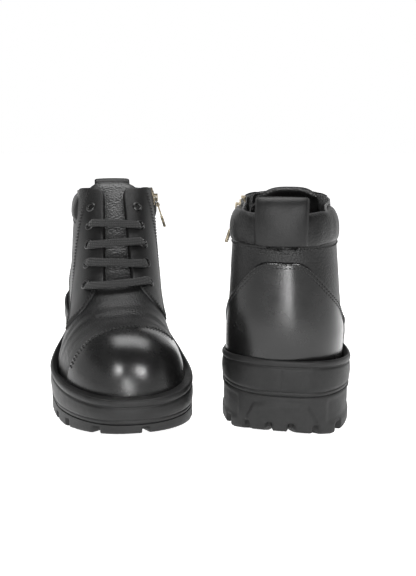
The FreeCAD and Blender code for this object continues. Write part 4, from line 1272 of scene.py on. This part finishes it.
def sole_half(x):
    waist = SOLE_WAIST_HALF + (SOLE_BALL_HALF - SOLE_WAIST_HALF) * smooth((x - WAIST_STATION) / 97)
    heel = SOLE_WAIST_HALF + (SOLE_HEEL_HALF - SOLE_WAIST_HALF) * smooth((WAIST_STATION - x) / 65)
    return np.where(x > WAIST_STATION, waist, heel)


def sole_end(widest, tip, half):
    """A rounded end of the sole's outline, from the lateral side round to the medial."""
    turns = np.linspace(-math.pi / 2, math.pi / 2, 160)
    c, s = np.cos(turns), np.sin(turns)
    x = widest + (tip - widest) * np.abs(c) ** (2 / SOLE_POWER)
    return np.stack([x, centre_line(x) + half * np.sign(s) * np.abs(s) ** (2 / SOLE_POWER)], -1)


def sole_outline():
    """The sole's edge seen from above, evenly spaced, with its outward normals."""
    toe = sole_end(BALL_STATION, SOLE_LENGTH, SOLE_BALL_HALF)
    heel = sole_end(HEEL_WIDEST, SOLE_BACK, SOLE_HEEL_HALF)[::-1]
    x = np.linspace(BALL_STATION - 1, HEEL_WIDEST + 1, 120)
    medial = np.stack([x, centre_line(x) + sole_half(x)], -1)
    lateral = np.stack([x, centre_line(x) - sole_half(x)], -1)[::-1]
    ring = np.vstack([toe, medial, heel, lateral, toe[:1]])
    ring = even(ring, run_length(ring)[-1] / SOLE_POINTS)[:-1]
    tangent = unit(np.roll(ring, -1, axis=0) - np.roll(ring, 1, axis=0))
    return ring, np.stack([tangent[:, 1], -tangent[:, 0]], -1)


def heel_flare(ring):
    """The heel stands a little wider on the lateral side."""
    side = np.where(ring[:, 1] < 0, 2.8, -0.6)
    return side * smooth((120 - ring[:, 0]) / 60) * smooth(np.abs(ring[:, 1]) / 30)


def wall_mesh(rows):
    """A loft of rows of (height, distance out of the outline)."""
    ring, normal = sole_outline()
    flare = heel_flare(ring)
    verts = []
    for height, out in rows(ring):
        flat = ring + normal * (out + flare)[:, None]
        verts.append(np.column_stack([flat, np.broadcast_to(height, len(ring))]))
    return np.array(verts)


def band_rows(ring):
    """The midsole's wall: a rolled lip over a groove, and a slightly full band under it."""
    x = ring[:, 0]
    foot, top = line_at(BAND_FOOT, x), line_at(RAND_TOP, x)
    seam = -0.5 * ((x < 20) & (np.abs(ring[:, 1]) < 0.7))
    ledge = 3.5 + 9 * smooth((x - 225) / 60)
    profile = [
        (foot, -9), (foot, -0.9), (foot + 0.5, -0.4), (foot + 1.5, -0.1 + seam), (foot + 2.6, 0.15 + seam),
        (foot + 2.9, -0.25 + seam), (foot + 3.4, -0.25 + seam), (foot + 3.7, 0.2 + seam),
    ]  # fmt: skip
    for share in np.linspace(0.15, 0.95, 9):
        z = foot + 3.7 + (top - 6.5 - foot - 3.7) * share
        profile.append((z, 0.2 + 0.45 * math.sin(share * math.pi) + seam))
    profile += [
        (top - 6.0, 0.1), (top - 5.6, -0.6), (top - 4.8, -0.7), (top - 4.3, 0.0), (top - 3.4, 0.45),
        (top - 2.2, 0.6), (top - 1.0, 0.4), (top - 0.2, -0.1), (top + 0.1, -0.9), (top - 0.1, -1.8),
        (top - 0.9, -0.6 * ledge), (top - 1.6, -ledge), (top - 4.5, -ledge - 1.5),
    ]  # fmt: skip
    return profile


def notch_share(ring):
    """1 in the middle of a tread notch, 0 between them."""
    x, y = ring[:, 0], ring[:, 1]
    near = np.full(len(ring), 99.0)
    for stretch, measure, places in (
        ((x > 8) & (x < 285), x, SIDE_NOTCHES),
        (x < 12, y, HEEL_NOTCHES),
        (x > 284, y, TOE_NOTCHES),
    ):
        for place in places:
            near = np.where(stretch, np.minimum(near, np.abs(measure - place)), near)
    return smooth((NOTCH_HALF + 0.6 - near) / 1.2)


def tread_relief(ring, height, ground):
    """How far the tread's wall stands out: a fan-shaped bumper behind the heel, sunk panels beside it."""
    x, y = ring[:, 0], ring[:, 1]
    bumper_half = 19 + 0.45 * np.maximum(25 - height, 0)
    arch = 26.5 - 3.0 * (y / 20) ** 2
    inside = smooth((bumper_half - np.abs(y)) / 1.5) * smooth((arch - height) / 1.2)
    bumper = 1.5 * inside * (x < 16)
    sunk = smooth((height - ground - 8.5) / 1.5) * smooth((28 - height) / 1.5) * smooth((np.abs(y) - 30) / 3)
    panel = -0.9 * sunk * ((x < 88) | (x > 130)) * smooth((line_at(BAND_FOOT, x) - 2.5 - height) / 1.5)
    return bumper + panel


def tread_rows(ring):
    """The tread's wall, from the ground up: notches below, bumper and panels above."""
    x = ring[:, 0]
    ground, top = line_at(GROUND, x), line_at(BAND_FOOT, x)
    notch = notch_share(ring)
    cut = ground + np.minimum(NOTCH_HEIGHT, (top - ground) * 0.7)
    rows = [(ground, -1.5 - NOTCH_DEPTH * notch), (ground + 0.5, -0.5 - NOTCH_DEPTH * notch)]
    for share in (0.3, 0.6, 0.88):
        z = ground + (cut - ground) * share
        rows.append((z, -NOTCH_DEPTH * notch + tread_relief(ring, z, ground)))
    rows.append((cut, -NOTCH_DEPTH * 0.7 * notch + tread_relief(ring, cut, ground)))
    for share in np.linspace(0.06, 0.93, 12):
        z = cut + 0.5 + (top - cut - 0.5) * share
        rows.append((z, tread_relief(ring, z, ground)))
    return rows + [(top - 0.2, -0.5), (top + 0.1, -1.4), (top + 0.1, -12.0)]


SPINE_ENDS = (28, 262)


def tread_mesh():
    """The tread's wall and its underside, whose grooves run in from the notches."""
    ring, _ = sole_outline()
    wall = wall_mesh(tread_rows)
    notch = notch_share(ring)
    spine_x = np.clip(ring[:, 0], *SPINE_ENDS)
    spine = np.column_stack([spine_x, centre_line(spine_x)])
    under = []
    for share in (1.0, 0.75, 0.5, 0.3, 0.12):
        flat = spine + (wall[0][:, :2] - spine) * share
        depth = NOTCH_HEIGHT * notch * (0.3 < share) * (share < 1.0)
        ground = line_at(GROUND, flat[:, 0])
        room = (line_at(BAND_FOOT, flat[:, 0]) - ground) * 0.6
        under.append(np.column_stack([flat, ground + np.minimum(depth, room)]))
    return np.array(under[:0:-1] + list(wall))


def add_sole():
    """The midsole's band, and the outsole, whose underside closes on a point under the arch."""
    band = wall_mesh(band_rows)
    faces = grid_faces(*band.shape[:2], closed_columns=True)
    on_both("midsole", band.reshape(-1, 3), faces, SOLE_RUBBER, slot="sole_rubber", replaces=["midsole"])
    tread = tread_mesh()
    rows, columns = tread.shape[:2]
    middle = np.array([[145.0, centre_line(145.0), 2.0]])
    verts = np.vstack([tread.reshape(-1, 3), middle])
    faces = grid_faces(rows, columns, closed_columns=True)
    faces += [((k + 1) % columns, k, rows * columns) for k in range(columns)]
    on_both("outsole", verts, faces, TREAD_RUBBER, slot="tread_rubber", replaces=["outsole"])


add_sole()


# ---------------------------------------------------------------- stitching
# how far in from an edge each row runs, and how far out of the upper its leather's face lies
FACING_SHIFTS, COUNTER_SHIFTS, CAP_SHIFTS = (1.8, 4.0), (1.9, 4.4), (1.8, 4.2)
GAP_SHIFT, ZIP_SHIFT = 2.0, 2.2
FACING_LIFT, COUNTER_LIFT, CAP_LIFT, QUARTER_LIFT, ZIP_LIFT = 0.2, 0.25, 0.15, -0.95, -0.9


def offset_line(family, points, shift):
    """A line on the upper moved sideways over the surface; the shift's sign picks the side."""
    points = even(points, 1.2)
    return family.place(points + np.cross(outward(points), direction(points)) * shift)


def facing_rows():
    """Two rows round the rear and the wing of each facing, one beside the tongue."""
    rows = []
    for side in (-1, 1):
        rear = facing_rear(side)[3:-2]
        wing = wing_curve(side)
        wing = wing[(wing[:, 2] > 57) & (np.abs(wing[:, 1]) > 14)][:-2]
        gap = gap_edge()[:-2] * np.array([1, side])
        for shift in FACING_SHIFTS:
            rows.append((Fan, offset_line(Fan, rear, -side * shift), FACING_LIFT))
            rows.append((Fan, offset_line(Fan, wing, side * shift), FACING_LIFT))
        rows.append((Fan, offset_line(Fan, front_points(gap), side * GAP_SHIFT), FACING_LIFT))
    return rows


def counter_rows():
    """Two rows along the counter's upper edge."""
    edge = curve(COUNTER_EDGE, 1.5)
    line = np.vstack([edge[::-1] * np.array([-1, 1]), edge[1:]])[4:-4]
    points, _ = surface(BackRings, line[:, 1], line[:, 0])
    return [(BackRings, offset_line(BackRings, points, -shift), COUNTER_LIFT) for shift in COUNTER_SHIFTS]


def collar_rows():
    """The row that holds the collar down, and the row under it that holds the loop."""
    lateral = Rings.place(side_points([(106, 140)], -1))[0, 1]
    medial = Rings.place(side_points([(80, 140)], 1))[0, 1]
    rows = []
    for drop, turns in (
        (2.2, np.linspace(medial, 360 * DEGREE + lateral, 220)),
        (5.0, np.linspace(162, 198, 60) * DEGREE),
    ):
        rows.append((Rings, np.stack([np.full(len(turns), COLLAR_FOOT - drop), turns], -1), QUARTER_LIFT))
    return rows


def zip_rows():
    """One row on each side of the zip; the rear one stops under the collar."""
    rows = []
    for side, top in ((-1, 133), (1, 157)):
        points = zip_line(np.linspace(62, top, 60), side * (ZIP_HALF + ZIP_SHIFT))
        rows.append((Fan, Fan.place(points), ZIP_LIFT))
    return rows


def cap_rows():
    """Two rows along the toe cap's seam."""
    seam = cap_edge(0)[2:-2]
    return [(TOE_DOME, offset_line(TOE_DOME, seam, -shift), CAP_LIFT) for shift in CAP_SHIFTS]


for name, rows in (
    ("cap_stitching", cap_rows()),
    ("facing_stitching", facing_rows()),
    ("counter_stitching", counter_rows()),
    ("collar_stitching", collar_rows()),
    ("zip_stitching", zip_rows()),
):
    add_stitches(name, rows)


# ---------------------------------------------------------------- camera, light and floor
CAMERA_PLACE, CAMERA_DOWN, CAMERA_LENS, CAMERA_SHIFT = (0.00375, -0.5703, 0.2036), 11.16, 40.63, -0.0255
MIDDLE = (0, 0, 0.1)
LIGHTS = [  # name, place, target, size, power
    ("overhead", (0, 0.15, 1.0), MIDDLE, (0.8, 0.5), 9),
    ("key_left", (-0.35, -1.1, 0.75), MIDDLE, (0.12, 0.16), 7),
    ("key_right", (0.45, -1.1, 0.75), MIDDLE, (0.12, 0.16), 7),
    ("strip", (0.03, -1.5, 0.3), (0.06, 0, 0.1), (0.12, 0.45), 7),
]
FLOOR_HALF, FLOOR_GLOW = 14.0, 0.9


def add_camera():
    """The camera that sees both boots as the photograph does."""
    camera = bpy.data.objects.new("camera", bpy.data.cameras.new("camera"))
    bpy.context.scene.collection.objects.link(camera)
    camera.location = CAMERA_PLACE
    camera.rotation_euler = (math.radians(90 - CAMERA_DOWN), 0, 0)
    camera.data.lens = CAMERA_LENS
    camera.data.sensor_width = 36.0
    camera.data.shift_y = CAMERA_SHIFT
    camera.data.clip_start = 0.02
    bpy.context.scene.camera = camera
    bpy.context.scene.view_settings.view_transform = "Standard"


def add_area(name, place, target, size, power):
    light = bpy.data.lights.new(name, "AREA")
    light.shape = "RECTANGLE"
    light.size, light.size_y = size
    light.energy = power
    lamp = bpy.data.objects.new(name, light)
    bpy.context.scene.collection.objects.link(lamp)
    lamp.location = place
    lamp.rotation_euler = (Vector(target) - Vector(place)).to_track_quat("-Z", "Y").to_euler()


def add_floor():
    """A pale floor, large enough to reach the horizon, with a little light of its own."""
    mesh = bpy.data.meshes.new("floor")
    corners = [(x * FLOOR_HALF, y * FLOOR_HALF, 0) for x, y in ((-1, -1), (1, -1), (1, 1), (-1, 1))]
    mesh.from_pydata(corners, [], [(0, 1, 2, 3)])
    floor = bpy.data.objects.new("floor", mesh)
    bpy.context.scene.collection.objects.link(floor)
    material, tree, shader = new_material("pale_floor")
    cloud = noise_node(tree, 3, 4, 0.5)
    drive(tree, cloud.outputs["Fac"], (0.3, 0.7), (0.9, 0.94), shader.inputs["Base Color"])
    shader.inputs["Roughness"].default_value = 0.8
    shader.inputs["Emission Color"].default_value = (1, 1, 1, 1)
    shader.inputs["Emission Strength"].default_value = FLOOR_GLOW
    mesh.materials.append(material)


def add_world():
    """A pale surround with a darker ceiling."""
    world = bpy.data.worlds.new("studio")
    bpy.context.scene.world = world
    world.use_nodes = True
    tree = world.node_tree
    background = tree.nodes["Background"]
    where = tree.nodes.new("ShaderNodeTexCoord")
    split = tree.nodes.new("ShaderNodeSeparateXYZ")
    tree.links.new(where.outputs["Generated"], split.inputs["Vector"])
    drive(tree, split.outputs["Z"], (0.3, 0.45), (1.0, 0.12), background.inputs["Color"])
    background.inputs["Strength"].default_value = 1.0


add_camera()
add_floor()
add_world()
for light in LIGHTS:
    add_area(*light)
